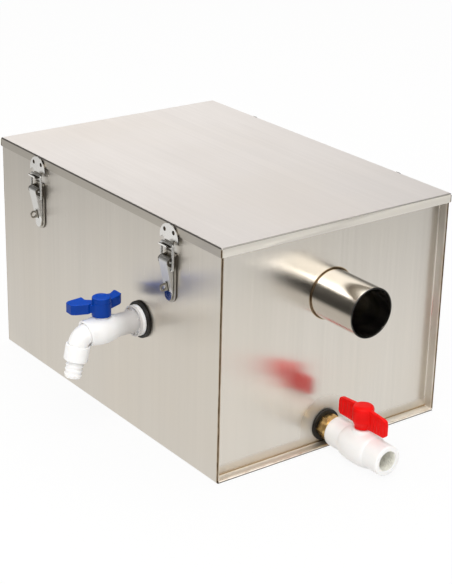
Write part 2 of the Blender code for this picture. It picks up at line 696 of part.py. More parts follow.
def make_spout():
    """Elbow from the body's mouth into the hose union."""
    start = TAP_BALL_OUT + TAP_BALL_RADIUS + SEAT_BACK + FIT
    radius = TAP_CHAMBER - FIT
    turn = math.pi / 2 - NOSE_TILT
    lead = NOSE_BEND * math.tan(turn / 2)
    middle_out = NOSE_OUT - lead
    steps = 5
    path = []
    for i in range(steps + 1):
        angle = turn * i / steps
        out = middle_out + NOSE_BEND * math.sin(angle)
        down = NOSE_BEND * (1 - math.cos(angle))
        path.append((TAP_X, -HALF_WIDTH - out, TAP_Z - down))
    down_axis = nose_frame()
    end = down_axis @ Vector((0, 0, -NUT_START - SPOUT_IN_NUT))
    beyond = down_axis @ Vector((0, 0, -NUT_START - SPOUT_IN_NUT - 6 * MM))
    first = (TAP_X, -HALF_WIDTH - start, TAP_Z)
    before = (TAP_X, -HALF_WIDTH - start + 5 * MM, TAP_Z)
    spout = wire("tap_spout", [first, *path, tuple(end)], radius, WHITE, sides=20)
    return cut(spout, wire("spout_bore", [before, *path, tuple(beyond)], SPOUT_BORE, sides=14))


def make_hose_union():
    """A union nut on the spout and the barbed tail that it holds."""
    frame = nose_frame()
    spout = TAP_CHAMBER
    foot = -NUT_START - NUT_LENGTH
    inside = -NUT_START - NUT_SOCKET
    edge = 1 * MM
    profile = [(spout, -NUT_START), (NUT_RADIUS - edge, -NUT_START), (NUT_RADIUS, -NUT_START - edge),
               (NUT_RADIUS, foot + edge), (NUT_RADIUS - edge, foot), (TAIL_RADIUS + FIT, foot),
               (TAIL_RADIUS + FIT, inside), (spout, inside)]
    turned("hose_union_nut", profile, WHITE, frame, closed=True)
    head = -NUT_START - SPOUT_IN_NUT - FIT
    flange = inside + FIT
    barb = 1.1 * MM
    first = foot - 3.5 * MM
    pitch = (TAIL_END - NUT_START - NUT_LENGTH - 3.5 * MM) / 3
    profile = [(TAIL_BORE, head), (spout - FIT, head), (spout - FIT, flange),
               (TAIL_RADIUS - barb / 2, flange), (TAIL_RADIUS - barb / 2, first)]
    for i in range(3):
        top = first - i * pitch
        profile += [(TAIL_RADIUS + barb / 2, top - pitch * 0.25), (TAIL_RADIUS - barb / 2, top - pitch)]
    profile.append((TAIL_BORE, -TAIL_END))
    turned("hose_tail", profile, WHITE, frame, 20, closed=True)


def make_tap_handle():
    """Swept two-wing handle on a round hub, with deep finger pads and a raised cap."""
    frame = Matrix.Translation((TAP_X, -HALF_WIDTH - TAP_BALL_OUT, TAP_Z))
    hub_top = HANDLE_WING_TOP - 1.2 * MM
    handle = rod("tap_handle", HANDLE_HUB_RADIUS, HANDLE_BASE, HANDLE_WING_TOP, BLUE, frame)
    arm = [(HANDLE_HUB_RADIUS * 0.75, 0), (4.5 * MM, -8 * MM), (-3 * MM, -HANDLE_PAD_START - 1 * MM),
           (HANDLE_PAD_FRONT, -HANDLE_PAD_HALF + 3 * MM),
           (HANDLE_PAD_BACK + 2 * MM, -HANDLE_PAD_HALF + 3 * MM),
           (HANDLE_PAD_BACK + 0.5 * MM, -HANDLE_PAD_START + 0.5 * MM), (-13 * MM, -1.5 * MM)]
    arm += [(x, -y) for x, y in reversed(arm[1:])]
    arms = plate("handle_arms", list(reversed(arm)), HANDLE_WING_FOOT + 0.6 * MM, hub_top, None, frame)
    join(handle, arms)
    for side in (-1, 1):
        pad = [(-2.6 * MM, HANDLE_PAD_START), (-1.8 * MM, HANDLE_PAD_START + 3.5 * MM),
               (HANDLE_PAD_FRONT + 1 * MM, HANDLE_PAD_HALF - 3.5 * MM),
               (HANDLE_PAD_FRONT - 2 * MM, HANDLE_PAD_HALF), (HANDLE_PAD_BACK + 2 * MM, HANDLE_PAD_HALF),
               (HANDLE_PAD_BACK - 0.6 * MM, HANDLE_PAD_HALF - 3.5 * MM),
               (HANDLE_PAD_BACK - 2.4 * MM, HANDLE_PAD_START)]
        pad = [(x, side * y) for x, y in pad]
        join(handle, plate("handle_pad", pad if side > 0 else list(reversed(pad)), HANDLE_WING_FOOT,
                           HANDLE_WING_TOP + HANDLE_PAD_RISE, None, frame))
    cut(handle, rod("skirt_hollow", TAP_COLLAR_RADIUS + FIT, HANDLE_BASE - 5 * MM, TAP_COLLAR_TOP + FIT,
                    matrix=frame))
    half = STEM_SQUARE / 2 + FIT
    cut(handle, block("handle_socket", (-half, -half, HANDLE_BASE - 2 * MM),
                      (half, half, HANDLE_WING_TOP - 3.6 * MM), None, frame))
    cut(handle, rod("cap_socket", 4 * MM, HANDLE_WING_TOP - 2.4 * MM, HANDLE_WING_TOP + 5 * MM,
                    matrix=frame, steps=20))
    foot = HANDLE_WING_TOP + FIT
    edge = 1.2 * MM
    turned("handle_cap", [(0, CAP_TOP), (CAP_RADIUS * 0.55, CAP_TOP - 0.2 * MM),
                          (CAP_RADIUS - edge, CAP_TOP - 0.7 * MM), (CAP_RADIUS, CAP_TOP - edge - 0.7 * MM),
                          (CAP_RADIUS, foot), (4 * MM - FIT, foot), (4 * MM - FIT, foot - 2 * MM),
                          (0, foot - 2 * MM)], BLUE, frame)


def make_tap():
    frame = Matrix.Translation((TAP_X, -HALF_WIDTH, TAP_Z)) @ ALONG_MINUS_Y
    ring("tap_washer", WASHER_RADIUS, TAP_THREAD_RADIUS + FIT, FIT, FIT + WASHER_THICKNESS, RUBBER, frame, 32)
    inner_seal("tap", frame, SHEET, TAP_THREAD_RADIUS, WHITE)
    make_tap_body()
    make_spout()
    make_hose_union()
    axis = Matrix.Translation((TAP_X, -HALF_WIDTH - TAP_BALL_OUT, TAP_Z))
    outward = axis @ Matrix.Rotation(-math.pi / 2, 4, "Z")
    lift = TAP_BALL_RADIUS - 2.6 * MM
    make_ball("tap", outward, TAP_BALL_RADIUS, TAP_BORE - 0.5 * MM, lift)
    make_seats("tap", outward, TAP_BALL_RADIUS, TAP_BORE - 0.4 * MM, TAP_CHAMBER)
    make_stem("tap", outward, lift, TAP_CHAMBER, TAP_COLLAR_TOP, HANDLE_WING_TOP - 4 * MM)
    make_tap_handle()


# Drain valve


def make_nipple():
    """Brass bulkhead fitting: thread through the wall, hexagon and thread into the valve."""
    frame = Matrix.Translation((PANEL_X, VALVE_Y, VALVE_Z)) @ ALONG_X
    hex_foot = WASHER_THICKNESS + 2 * FIT
    hex_top = hex_foot + HEX_THICKNESS
    inner_end = -SHEET - INNER_WASHER_THICKNESS - NUT_THICKNESS - 5 * MM
    thread_end = VALVE_START + VALVE_SOCKET_DEPTH - 1 * MM
    profile = [(VALVE_BORE, thread_end), (VALVE_THREAD_RADIUS - 0.3 * MM, thread_end),
               (VALVE_THREAD_RADIUS - 0.3 * MM, VALVE_START - FIT), (NIPPLE_COLLAR_RADIUS, VALVE_START - FIT),
               (NIPPLE_COLLAR_RADIUS, hex_foot + 1 * MM), (VALVE_THREAD_RADIUS, hex_foot + 1 * MM),
               (VALVE_THREAD_RADIUS, inner_end), (VALVE_BORE, inner_end)]
    nipple = turned("drain_nipple", profile, BRASS, frame, closed=True)
    head = plate("nipple_hexagon", hexagon(HEX_FLATS, math.pi / 6), hex_foot, hex_top, None, frame)
    corner = HEX_FLATS / math.sqrt(3)
    profile = [(0, hex_top + 1 * MM), (HEX_FLATS / 2 - 0.6 * MM, hex_top + 1 * MM),
               (corner + 1 * MM, hex_top - 1.6 * MM), (corner + 1 * MM, hex_foot - 1 * MM),
               (0, hex_foot - 1 * MM)]
    cone = turned("nipple_chamfer", profile, None, frame)
    combine(head, cone, "INTERSECT")
    join(nipple, head)
    return cut(nipple, rod("nipple_bore", VALVE_BORE, inner_end - 2 * MM, thread_end + 2 * MM, matrix=frame))


def make_valve_body():
    """Two sockets and a round middle, with a neck for the stem and a moulding boss underneath."""
    frame = Matrix.Translation((PANEL_X, VALVE_Y, VALVE_Z)) @ ALONG_X
    start = VALVE_START
    end = VALVE_START + VALVE_LENGTH
    middle = (start + end) / 2
    rounding = 1.2 * MM
    half_bulge = 17 * MM
    profile = [(VALVE_BORE, end), (VALVE_SOCKET_RADIUS - rounding, end),
               (VALVE_SOCKET_RADIUS, end - rounding)]
    steps = 6
    for i in range(steps + 1):
        share = math.cos(math.pi * i / steps)
        swell = math.sin(math.pi * i / steps) ** 0.8
        profile.append((VALVE_SOCKET_RADIUS + (VALVE_BULGE_RADIUS - VALVE_SOCKET_RADIUS) * swell,
                        middle + half_bulge * share))
    profile += [(VALVE_SOCKET_RADIUS, start + rounding), (VALVE_SOCKET_RADIUS - rounding, start),
                (VALVE_BORE, start)]
    body = turned("valve_body", profile, WHITE, frame, closed=True)
    axis = Matrix.Translation((PANEL_X + middle, VALVE_Y, VALVE_Z))
    join(body, rod("valve_neck", VALVE_NECK_RADIUS, VALVE_CHAMBER + 2 * MM, VALVE_NECK_TOP, matrix=axis))
    join(body, rod("valve_boss", 5.5 * MM, -VALVE_BULGE_RADIUS - 0.7 * MM, -VALVE_CHAMBER - 2 * MM,
                   matrix=axis, steps=20))
    cut(body, rod("valve_inlet_socket", VALVE_THREAD_RADIUS + 0.1 * MM, start - 5 * MM,
                  start + VALVE_SOCKET_DEPTH, matrix=frame))
    chamber_start = middle - VALVE_BALL_RADIUS - SEAT_BACK - FIT
    cut(body, rod("valve_chamber", VALVE_CHAMBER, chamber_start, end + 5 * MM, matrix=frame))
    return cut(body, stem_bore("valve_stem_bore", axis, VALVE_CHAMBER, VALVE_NECK_TOP))


def make_valve_handle(frame):
    """Butterfly handle: a flared hub between two upright wings in line with the flow."""
    rounding = 2 * MM
    handle = turned("valve_handle", [(0, LEVER_TOP), (LEVER_TOP_RADIUS * 0.6, LEVER_TOP - 0.3 * MM),
                                     (LEVER_TOP_RADIUS - 1 * MM, LEVER_TOP - rounding),
                                     (LEVER_TOP_RADIUS, LEVER_TOP - 2 * rounding),
                                     (LEVER_TOP_RADIUS - 0.6 * MM, LEVER_FOOT + 6 * MM),
                                     (LEVER_BASE_RADIUS, LEVER_FOOT + 3 * MM),
                                     (LEVER_BASE_RADIUS, LEVER_FOOT), (0, LEVER_FOOT)], RED, frame)
    foot = LEVER_FOOT + 1.5 * MM
    tip_top = LEVER_TOP - 3.5 * MM
    side = [(0, LEVER_TOP - 2 * MM), (-LEVER_TOP_RADIUS, LEVER_TOP - 2 * MM),
            (-LEVER_REACH + 4 * MM, tip_top), (-LEVER_REACH + 1 * MM, tip_top - 2 * MM),
            (-LEVER_REACH, tip_top - 6 * MM),
            (-LEVER_REACH, foot + 3 * MM), (-LEVER_REACH + 2.5 * MM, foot + 0.6 * MM), (0, foot)]
    side += [(-x, z) for x, z in reversed(side[1:-1])]
    upright = frame @ Matrix.Rotation(math.pi / 2, 4, "X")
    half = LEVER_THICKNESS / 2
    join(handle, plate("handle_wings", side, -half, half, None, upright))
    half = STEM_SQUARE / 2 + FIT
    return cut(handle, block("valve_handle_socket", (-half, -half, LEVER_FOOT - 2 * MM),
                             (half, half, LEVER_TOP - 6 * MM), None, frame))


def make_valve():
    frame = Matrix.Translation((PANEL_X, VALVE_Y, VALVE_Z)) @ ALONG_X
    ring("drain_washer", VALVE_WASHER_RADIUS, VALVE_THREAD_RADIUS + FIT, FIT, FIT + WASHER_THICKNESS,
         RUBBER, frame)
    inner_seal("drain", frame, SHEET, VALVE_THREAD_RADIUS, BRASS)
    make_nipple()
    make_valve_body()
    axis = Matrix.Translation((PANEL_X + VALVE_START + VALVE_LENGTH / 2, VALVE_Y, VALVE_Z))
    lift = VALVE_BALL_RADIUS - 2.6 * MM
    make_ball("valve", axis, VALVE_BALL_RADIUS, VALVE_BORE - 0.9 * MM, lift)
    make_seats("valve", axis, VALVE_BALL_RADIUS, VALVE_BORE - 0.8 * MM, VALVE_CHAMBER)
    make_stem("valve", axis, lift, VALVE_CHAMBER, VALVE_NECK_TOP, LEVER_TOP - 7 * MM)
    seat_end = VALVE_START + VALVE_LENGTH / 2 + VALVE_BALL_RADIUS + SEAT_BACK
    ring("valve_retainer", VALVE_CHAMBER - FIT, VALVE_BORE, seat_end + FIT, seat_end + RETAINER_LENGTH,
         WHITE, frame, 20)
    make_valve_handle(axis)


# Latches


def make_keeper(name, frame):
    """Stamped plate on the lid's skirt, its tongue curled out and up into a hook."""
    skirt = SHEET + LID_GAP - LATCH_PIN_OUT
    back = skirt + FIT
    front = back + LATCH_SHEET
    lip = front + HOOK_INNER_WIDTH
    trough = BAR_RISE - BAIL_WIRE - FIT
    top = LATCH_DROP - KEEPER_TOP_GAP
    under = trough - LATCH_SHEET
    corners = [(-lip - LATCH_SHEET, BAR_RISE + 0.3 * MM), (-lip - LATCH_SHEET, under), (-back, under),
               (-back, top)]
    path = bent_line(corners, BAIL_WIRE + FIT + LATCH_SHEET, 3)
    half = KEEPER_WIDTH / 2
    sheet = folded(name, path, (-half, half), LATCH_SHEET, BRIGHT, frame)
    shoulder = BAR_RISE + 5.5 * MM
    drop = half * 0.95
    middle = (0, top - drop)
    neck = HOOK_WIDTH / 2
    outline = [(x * half / drop, z) for x, z in arc(middle, drop, -10, 190, 10)]
    outline += [(-neck - 3 * MM, shoulder - 1 * MM), (-neck, shoulder - 4 * MM), (-neck, -5 * MM),
                (neck, -5 * MM), (neck, shoulder - 4 * MM), (neck + 3 * MM, shoulder - 1 * MM)]
    front_view = frame @ Matrix.Rotation(math.pi / 2, 4, "X")
    combine(sheet, plate(name + "_outline", outline, -20 * MM, 20 * MM, None, front_view), "INTERSECT")
    for side in (-1, 1):
        place = Matrix.Translation((side * KEEPER_HOLE_PITCH / 2, 0, LATCH_DROP - 7.6 * MM))
        cut(sheet, rod(name + "_hole", KEEPER_HOLE_RADIUS, -15 * MM, 15 * MM,
                       matrix=frame @ place @ ALONG_MINUS_Y, steps=8))
    return sheet


def make_latch_base(name, frame):
    """Plate with a round foot, two ears for the lever's pin and an eye for a padlock."""
    back = FIT - LATCH_PIN_OUT
    front = back + LATCH_SHEET
    half = BASE_WIDTH / 2
    outline = arc((0, -BASE_DROP + half), half, 180, 360, 5)
    outline += arc((half - 3 * MM, BASE_RISE - 3 * MM), 3 * MM, 0, 90, 1)
    outline += arc((-half + 3 * MM, BASE_RISE - 3 * MM), 3 * MM, 90, 180, 1)
    front_view = frame @ Matrix.Rotation(math.pi / 2, 4, "X")
    base = plate(name, outline, back, front, BRIGHT, front_view)
    inner = LEVER_HALF_WIDTH + FIT
    outer = BAIL_HALF_WIDTH - BAIL_WIRE - FIT
    rounding = KNUCKLE_RADIUS
    ear = [(front - 0.5 * MM, -7 * MM), *arc((0, 0), rounding, -65, 65, 3), (front - 0.5 * MM, 5 * MM)]
    for low, high in ((inner, outer), (-outer, -inner)):
        join(base, plate(name + "_ear", ear, low, high, None, frame @ SIDEWAYS))
    cut(base, rod(name + "_pin_hole", PIN_RADIUS + FIT, -outer - 2 * MM, outer + 2 * MM,
                  matrix=frame @ ALONG_X, steps=8))
    tab = [(front - 0.5 * MM, -EYE_DROP - EYE_RADIUS), *arc((EYE_OUT, -EYE_DROP), EYE_RADIUS, -90, 90, 5),
           (front - 0.5 * MM, -EYE_DROP + EYE_RADIUS)]
    hole = arc((EYE_OUT, -EYE_DROP), EYE_HOLE, 0, 300, 5)
    thin = EYE_THICKNESS / 2
    return join(base, plate(name + "_eye", tab, -thin, thin, None, frame @ SIDEWAYS, holes=[hole]))


def make_latch_lever(name, frame):
    """Channel lever rolled round its pin, with holes for the bail and a slot for the eye."""
    wall = LATCH_PIN_OUT - FIT - LATCH_SHEET - 0.5 * MM
    tip_out = wall - 1.6 * MM
    rear = [(-wall, -LEVER_LENGTH + 0.6 * MM), (-tip_out, -LEVER_LENGTH)]
    knuckle = arc((0, 0), KNUCKLE_RADIUS, 8, 180, 5)
    outline = [*rear, *knuckle, (-wall, -1 * MM)]
    body = plate(name, outline, -LEVER_HALF_WIDTH, LEVER_HALF_WIDTH, BRIGHT, frame @ SIDEWAYS)
    inner_wide = LEVER_HALF_WIDTH - LEVER_SHEET
    inner_round = KNUCKLE_RADIUS - LEVER_SHEET
    hollow = [(-wall - 5 * MM, -LEVER_LENGTH - 3 * MM), (-wall + 0.25 * MM, -LEVER_LENGTH - 3 * MM),
              *arc((0, 0), inner_round, 8, 150, 3), (-wall - 5 * MM, inner_round * 0.5)]
    cut(body, plate(name + "_hollow", hollow, -inner_wide, inner_wide, None, frame @ SIDEWAYS))
    cut(body, rod(name + "_pin_hole", PIN_RADIUS + FIT, -2 * LEVER_HALF_WIDTH, 2 * LEVER_HALF_WIDTH,
                  matrix=frame @ ALONG_X, steps=8))
    bail = Matrix.Translation((0, BAIL_PIN_IN, -BAIL_PIN_DROP))
    cut(body, rod(name + "_bail_hole", BAIL_WIRE + FIT, -2 * LEVER_HALF_WIDTH, 2 * LEVER_HALF_WIDTH,
                  matrix=frame @ bail @ ALONG_X, steps=8))
    slot = EYE_THICKNESS / 2 + 0.5 * MM
    low = (-slot, -15 * MM, -EYE_DROP - EYE_RADIUS - 1.6 * MM)
    high = (slot, 10 * MM, -EYE_DROP + EYE_RADIUS + 1 * MM)
    cut(body, block(name + "_slot", low, high, None, frame))
    width = LEVER_HALF_WIDTH + 1 * MM
    round_tip = LEVER_HALF_WIDTH - 1 * MM
    outline = [(width, 10 * MM), (-width, 10 * MM), (-width, -LEVER_LENGTH * 0.7)]
    outline += arc((0, -LEVER_LENGTH + round_tip), round_tip, 180, 360, 5)
    outline.append((width, -LEVER_LENGTH * 0.7))
    front_view = frame @ Matrix.Rotation(math.pi / 2, 4, "X")
    return combine(body, plate(name + "_front", outline, -20 * MM, 20 * MM, None, front_view), "INTERSECT")


def make_bail(name, frame):
    """Bent wire from one cheek of the lever over the keeper's hook to the other cheek."""
    end = LEVER_HALF_WIDTH - LEVER_SHEET + 0.1 * MM
    foot = -BAIL_PIN_DROP
    bar_out = -(SHEET + LID_GAP - LATCH_PIN_OUT + FIT + LATCH_SHEET + FIT + 0.2 * MM + BAIL_WIRE)
    pin_out = BAIL_PIN_IN
    side = BAIL_HALF_WIDTH
    corners = [(-end, pin_out, foot), (-side, pin_out, foot), (-side, bar_out, BAR_RISE),
               (side, bar_out, BAR_RISE), (side, pin_out, foot), (end, pin_out, foot)]
    pivot = Matrix.Translation((0, pin_out, foot))
    local = [tuple(pivot.inverted() @ Vector(corner)) for corner in corners]
    return wire(name, bent_line(local, 1.9 * MM, 2), BAIL_WIRE, BRIGHT, frame @ pivot, sides=8)


def make_latches():
    """Four latches, two on each long side."""
    height = TANK_HEIGHT - LATCH_DROP
    places = [("left", "front", -1), ("right", "front", 1), ("left", "back", -1), ("right", "back", 1)]
    for end, side, sign in places:
        face = Matrix() if side == "front" else Matrix.Rotation(math.pi, 4, "Z")
        across = sign if side == "front" else -sign
        shift = Matrix.Translation((across * LATCH_SPACING / 2, -HALF_WIDTH - LATCH_PIN_OUT, height))
        frame = face @ shift
        suffix = side + "_" + end
        make_keeper("latch_keeper_" + suffix, frame)
        make_latch_base("latch_base_" + suffix, frame)
        make_latch_lever("latch_lever_" + suffix, frame)
        make_bail("latch_bail_" + suffix, frame)
        reach = BAIL_HALF_WIDTH - BAIL_WIRE - FIT
        rod("latch_pin_" + suffix, PIN_RADIUS, -reach, reach, BRIGHT, frame @ ALONG_X, 8)


def main():
    clear_scene()
    make_wrap()
    make_end_panel("outlet_end_panel", OUTLET_HEIGHT, Matrix(), True)
    make_end_panel("inlet_end_panel", INLET_HEIGHT, Matrix.Rotation(math.pi, 4, "Z"), False)
    make_lid()
    make_gasket()
    make_pipes()
    make_baffles()
    make_rails()
    make_basket()
    make_tap()
    make_valve()
    make_latches()


main()
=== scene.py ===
"""Looks of an under-sink grease trap: brushed stainless tank, plastic tap, ball valve and latches.

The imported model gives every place; this script replaces the solids that show with finer meshes and
gives every surface its finish. Lengths are in metres, +X towards the outlet end, +Z up.
"""
import json
import math

import bmesh
import bpy
from mathutils import Matrix, Vector, noise


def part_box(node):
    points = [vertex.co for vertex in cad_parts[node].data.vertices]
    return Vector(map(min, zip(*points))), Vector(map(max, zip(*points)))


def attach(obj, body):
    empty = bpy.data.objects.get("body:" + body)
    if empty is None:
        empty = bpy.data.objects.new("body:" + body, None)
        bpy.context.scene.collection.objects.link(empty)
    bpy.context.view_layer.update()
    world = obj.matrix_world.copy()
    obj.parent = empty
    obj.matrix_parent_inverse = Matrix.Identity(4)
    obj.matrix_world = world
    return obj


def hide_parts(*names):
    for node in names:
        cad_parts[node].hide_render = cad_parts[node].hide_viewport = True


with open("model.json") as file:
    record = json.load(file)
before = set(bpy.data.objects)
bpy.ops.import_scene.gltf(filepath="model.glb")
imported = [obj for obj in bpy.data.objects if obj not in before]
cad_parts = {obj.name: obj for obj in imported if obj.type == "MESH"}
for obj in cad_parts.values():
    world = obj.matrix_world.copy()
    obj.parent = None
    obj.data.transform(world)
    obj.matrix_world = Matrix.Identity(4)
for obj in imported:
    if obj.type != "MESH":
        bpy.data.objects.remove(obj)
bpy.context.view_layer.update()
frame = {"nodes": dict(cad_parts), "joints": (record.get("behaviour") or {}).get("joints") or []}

MM = 0.001
PIVOT = {joint["name"]: Vector(joint["pos_m"]) for joint in frame["joints"]}
WRAP_LOW, WRAP_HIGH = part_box("tank_wrap")
LID_LOW, LID_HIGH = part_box("lid")
ALONG_X = Matrix.Rotation(math.pi / 2, 4, "Y")
ALONG_MINUS_Y = Matrix.Rotation(math.pi / 2, 4, "X")

# Sheet metal
SHEET = 1.2 * MM
FIT = 0.3 * MM
FOLD_RADIUS = 2.2 * MM
FLANGE = 12 * MM
PANEL_RECESS = 10 * MM
PANEL_X = WRAP_HIGH.x - PANEL_RECESS
LID_ROUNDING = 1.6 * MM
PIPE_RADIUS = 25.4 * MM
PIPE_WALL = 1.5 * MM
PIPE_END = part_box("outlet_pipe")[1].x

# Fittings through the walls
HOLE_RADIUS = 10.6 * MM
THREAD_RADIUS = 10 * MM
THREAD_PITCH = 1.8 * MM
NIPPLE_BORE = 7.2 * MM

# Photograph's camera, in pixels of its 452 x 584 frame
FOCAL_PIXELS = 1570.743
PICTURE_HEIGHT = 584
SENSOR = 36
CAMERA_PLACE = Vector((1.24782, -0.923676, 0.737550))
CAMERA_AZIMUTH = 0.925196
CAMERA_ELEVATION = 0.391373
CAMERA_ROLL = 0.0245405
LAMP_DISTANCE = 1.9


# Finishes


class Tree:
    """A node tree in the making; each method adds a node and returns its output."""

    def __init__(self, tree, place):
        self.tree = tree
        self.coordinates = self.add("ShaderNodeTexCoord")
        self.place = self.coordinates.outputs[place]

    def add(self, kind, **values):
        node = self.tree.nodes.new(kind)
        for key, value in values.items():
            setattr(node, key, value)
        return node

    def feed(self, socket, value):
        if isinstance(value, bpy.types.NodeSocket):
            self.tree.links.new(value, socket)
        else:
            socket.default_value = value

    def math(self, operation, first, second=0.0):
        node = self.add("ShaderNodeMath", operation=operation)
        self.feed(node.inputs[0], first)
        self.feed(node.inputs[1], second)
        return node.outputs[0]

    def times(self, first, second):
        return self.math("MULTIPLY", first, second)

    def plus(self, first, second):
        return self.math("ADD", first, second)

    def minus(self, first, second):
        return self.math("SUBTRACT", first, second)

    def most(self, first, second):
        return self.math("MAXIMUM", first, second)

    def part(self, vector, name):
        node = self.add("ShaderNodeSeparateXYZ")
        self.feed(node.inputs[0], vector)
        return node.outputs[name]

    def axis(self, name):
        return self.part(self.place, name)

    def away(self, name, middle=0.0):
        """Distance from a place along an axis."""
        along = self.axis(name)
        return self.math("ABSOLUTE", self.minus(along, middle) if middle else along)

    def normal(self, name):
        return self.part(self.coordinates.outputs["Normal"], name)

    def facing(self, name):
        """How squarely the surface faces along an axis, 0 to 1."""
        return self.math("ABSOLUTE", self.normal(name))

    def noise(self, scale, detail=2.0, shift=(0, 0, 0)):
        """Noise between 0 and 1; scale is in waves per metre along X, Y and Z."""
        mapping = self.add("ShaderNodeMapping")
        self.feed(mapping.inputs["Vector"], self.place)
        mapping.inputs["Scale"].default_value = scale
        mapping.inputs["Location"].default_value = shift
        node = self.add("ShaderNodeTexNoise")
        self.feed(node.inputs["Vector"], mapping.outputs[0])
        node.inputs["Scale"].default_value = 1
        node.inputs["Detail"].default_value = detail
        return node.outputs[0]

    def ramp(self, value, low, high, start=0.0, end=1.0):
        """Value from low to high becomes start to end, smoothly."""
        node = self.add("ShaderNodeMapRange", interpolation_type="SMOOTHSTEP")
        self.feed(node.inputs["Value"], value)
        node.inputs["From Min"].default_value = low
        node.inputs["From Max"].default_value = high
        node.inputs["To Min"].default_value = start
        node.inputs["To Max"].default_value = end
        return node.outputs[0]

    def mix(self, share, first, second):
        """Mix two colours."""
        node = self.add("ShaderNodeMix", data_type="RGBA")
        self.feed(node.inputs[0], share)
        self.feed(node.inputs[6], first if isinstance(first, bpy.types.NodeSocket) else (*first, 1))
        self.feed(node.inputs[7], second if isinstance(second, bpy.types.NodeSocket) else (*second, 1))
        return node.outputs[2]

    def bump(self, height, distance, strength=1.0, normal=None):
        node = self.add("ShaderNodeBump")
        self.feed(node.inputs["Height"], height)
        node.inputs["Distance"].default_value = distance
        node.inputs["Strength"].default_value = strength
        if normal is not None:
            self.feed(node.inputs["Normal"], normal)
        return node.outputs[0]

    def vector(self, operation, second=None):
        """A number worked out from the place."""
        node = self.add("ShaderNodeVectorMath", operation=operation)
        self.feed(node.inputs[0], self.place)
        if second is not None:
            node.inputs[1].default_value = second
        return node.outputs["Value"]

    def emit(self, kind, **values):
        """A shader and its inputs."""
        node = self.add(kind)
        for name, value in values.items():
            self.feed(node.inputs[name], value)
        return node.outputs[0]

    def ray(self, name):
        return self.add("ShaderNodeLightPath").outputs[name]

    def blend(self, share, first, second):
        """Mix two shaders."""
        node = self.add("ShaderNodeMixShader")
        for socket, value in zip(node.inputs, (share, first, second)):
            self.feed(socket, value)
        return node.outputs[0]


class Finish(Tree):
    """A material with a Principled shader."""

    def __init__(self, name, metallic, roughness):
        self.material = bpy.data.materials.new(name)
        self.material.use_nodes = True
        super().__init__(self.material.node_tree, "Object")
        self.shader = self.tree.nodes["Principled BSDF"]
        self.set("Metallic", metallic)
        self.set("Roughness", roughness)

    def set(self, name, value):
        self.feed(self.shader.inputs[name], value)


STEEL_COLOUR = (0.71, 0.667, 0.602)
PANEL_COLOUR = (0.745, 0.705, 0.645)
LID_COLOUR = (0.78, 0.733, 0.705)
STRAW = (0.52, 0.40, 0.24)
BROWN = (0.14, 0.085, 0.045)


# Strength of the shallow waves that rolled sheet has
SHEET_WAVES = 0.35


def steel(name, grain, tangent, roughness=0.3, colour=STEEL_COLOUR, heat=None, tone=None, dull=None):
    """Brushed stainless; grain is the streaks' scale and heat gives a 0 to 1 mask for weld tint. Tone
    changes the base colour and dull gives what is added to the roughness."""
    finish = Finish(name, 1.0, roughness)
    broad = finish.noise([g * 0.12 for g in grain], 3)
    streak = finish.noise(grain, 4)
    fine = finish.noise([g * 4 for g in grain], 2, (3, 5, 7))
    cloud = finish.noise((5, 5, 5), 3)
    mottle = finish.plus(finish.times(broad, 0.5), finish.times(streak, 0.5))
    dark = [c * 0.97 for c in colour]
    light = [min(1, c * 1.025) for c in colour]
    base = finish.mix(finish.ramp(mottle, 0.3, 0.7), dark, light)
    warm = (colour[0] * 1.02, colour[1] * 0.985, colour[2] * 0.93)
    base = finish.mix(finish.ramp(cloud, 0.35, 0.75, 0, 0.5), base, warm)
    if tone:
        base = tone(finish, base)
    if heat:
        mask = heat(finish)
        base = finish.mix(finish.ramp(mask, 0.08, 0.55, 0, 0.85), base, STRAW)
        base = finish.mix(finish.ramp(mask, 0.5, 0.95), base, BROWN)
    finish.set("Base Color", base)
    rough = finish.plus(finish.times(fine, 0.1), roughness - 0.05)
    rough = finish.plus(rough, finish.times(cloud, 0.04))
    if dull:
        rough = finish.plus(rough, dull(finish))
    finish.set("Roughness", rough)
    finish.set("Anisotropic", 0.8)
    finish.set("Tangent", finish.add("ShaderNodeTangent", direction_type="RADIAL",
                                     axis=tangent).outputs[0])
    grooves = finish.bump(finish.plus(streak, fine), 0.00001, 0.16)
    finish.set("Normal", finish.bump(finish.noise((9, 9, 7), 1), 0.001, SHEET_WAVES, grooves))
    return finish.material


def near(finish, value, place, reach, wobble=None):
    """1 at a place along an axis, falling to 0 at a reach from it, with a wavering edge."""
    distance = finish.math("ABSOLUTE", finish.minus(value, place))
    if wobble is not None:
        distance = finish.plus(distance, finish.times(wobble, reach * 0.7))
    return finish.ramp(distance, 0, reach, 1, 0)


def wrap_heat(finish):
    """Tint beside the welds at both ends of the wrap."""
    wobble = finish.minus(finish.noise((30, 30, 30), 3), 0.35)
    along = finish.away("X")
    return near(finish, along, WRAP_HIGH.x + 0.2 * MM, 1.8 * MM, wobble)


def behind_latch_patch(finish):
    """1 in a patch of the wall behind each latch, where the wall is painted brighter as a painted
    reflection.
    """
    pin = PIVOT["lever_hinge_front_right"]
    share = 0.0
    for x in (-pin.x, pin.x):
        aside = finish.away("X", x - 4 * MM)
        share = finish.most(share, finish.ramp(aside, 8 * MM, 15 * MM, 1, 0))
    above = finish.ramp(finish.axis("Z"), pin.z - 2 * MM, pin.z + 2 * MM)
    return finish.times(share, above)


def wrap_painted_reflection(finish, base):
    """Painted reflection: the wall is painted brighter in the patch behind each latch."""
    return finish.mix(behind_latch_patch(finish), base, (0.95, 0.92, 0.87))


def wrap_dull(finish):
    """Duller in the same patch behind each latch."""
    return finish.times(behind_latch_patch(finish), 0.2)


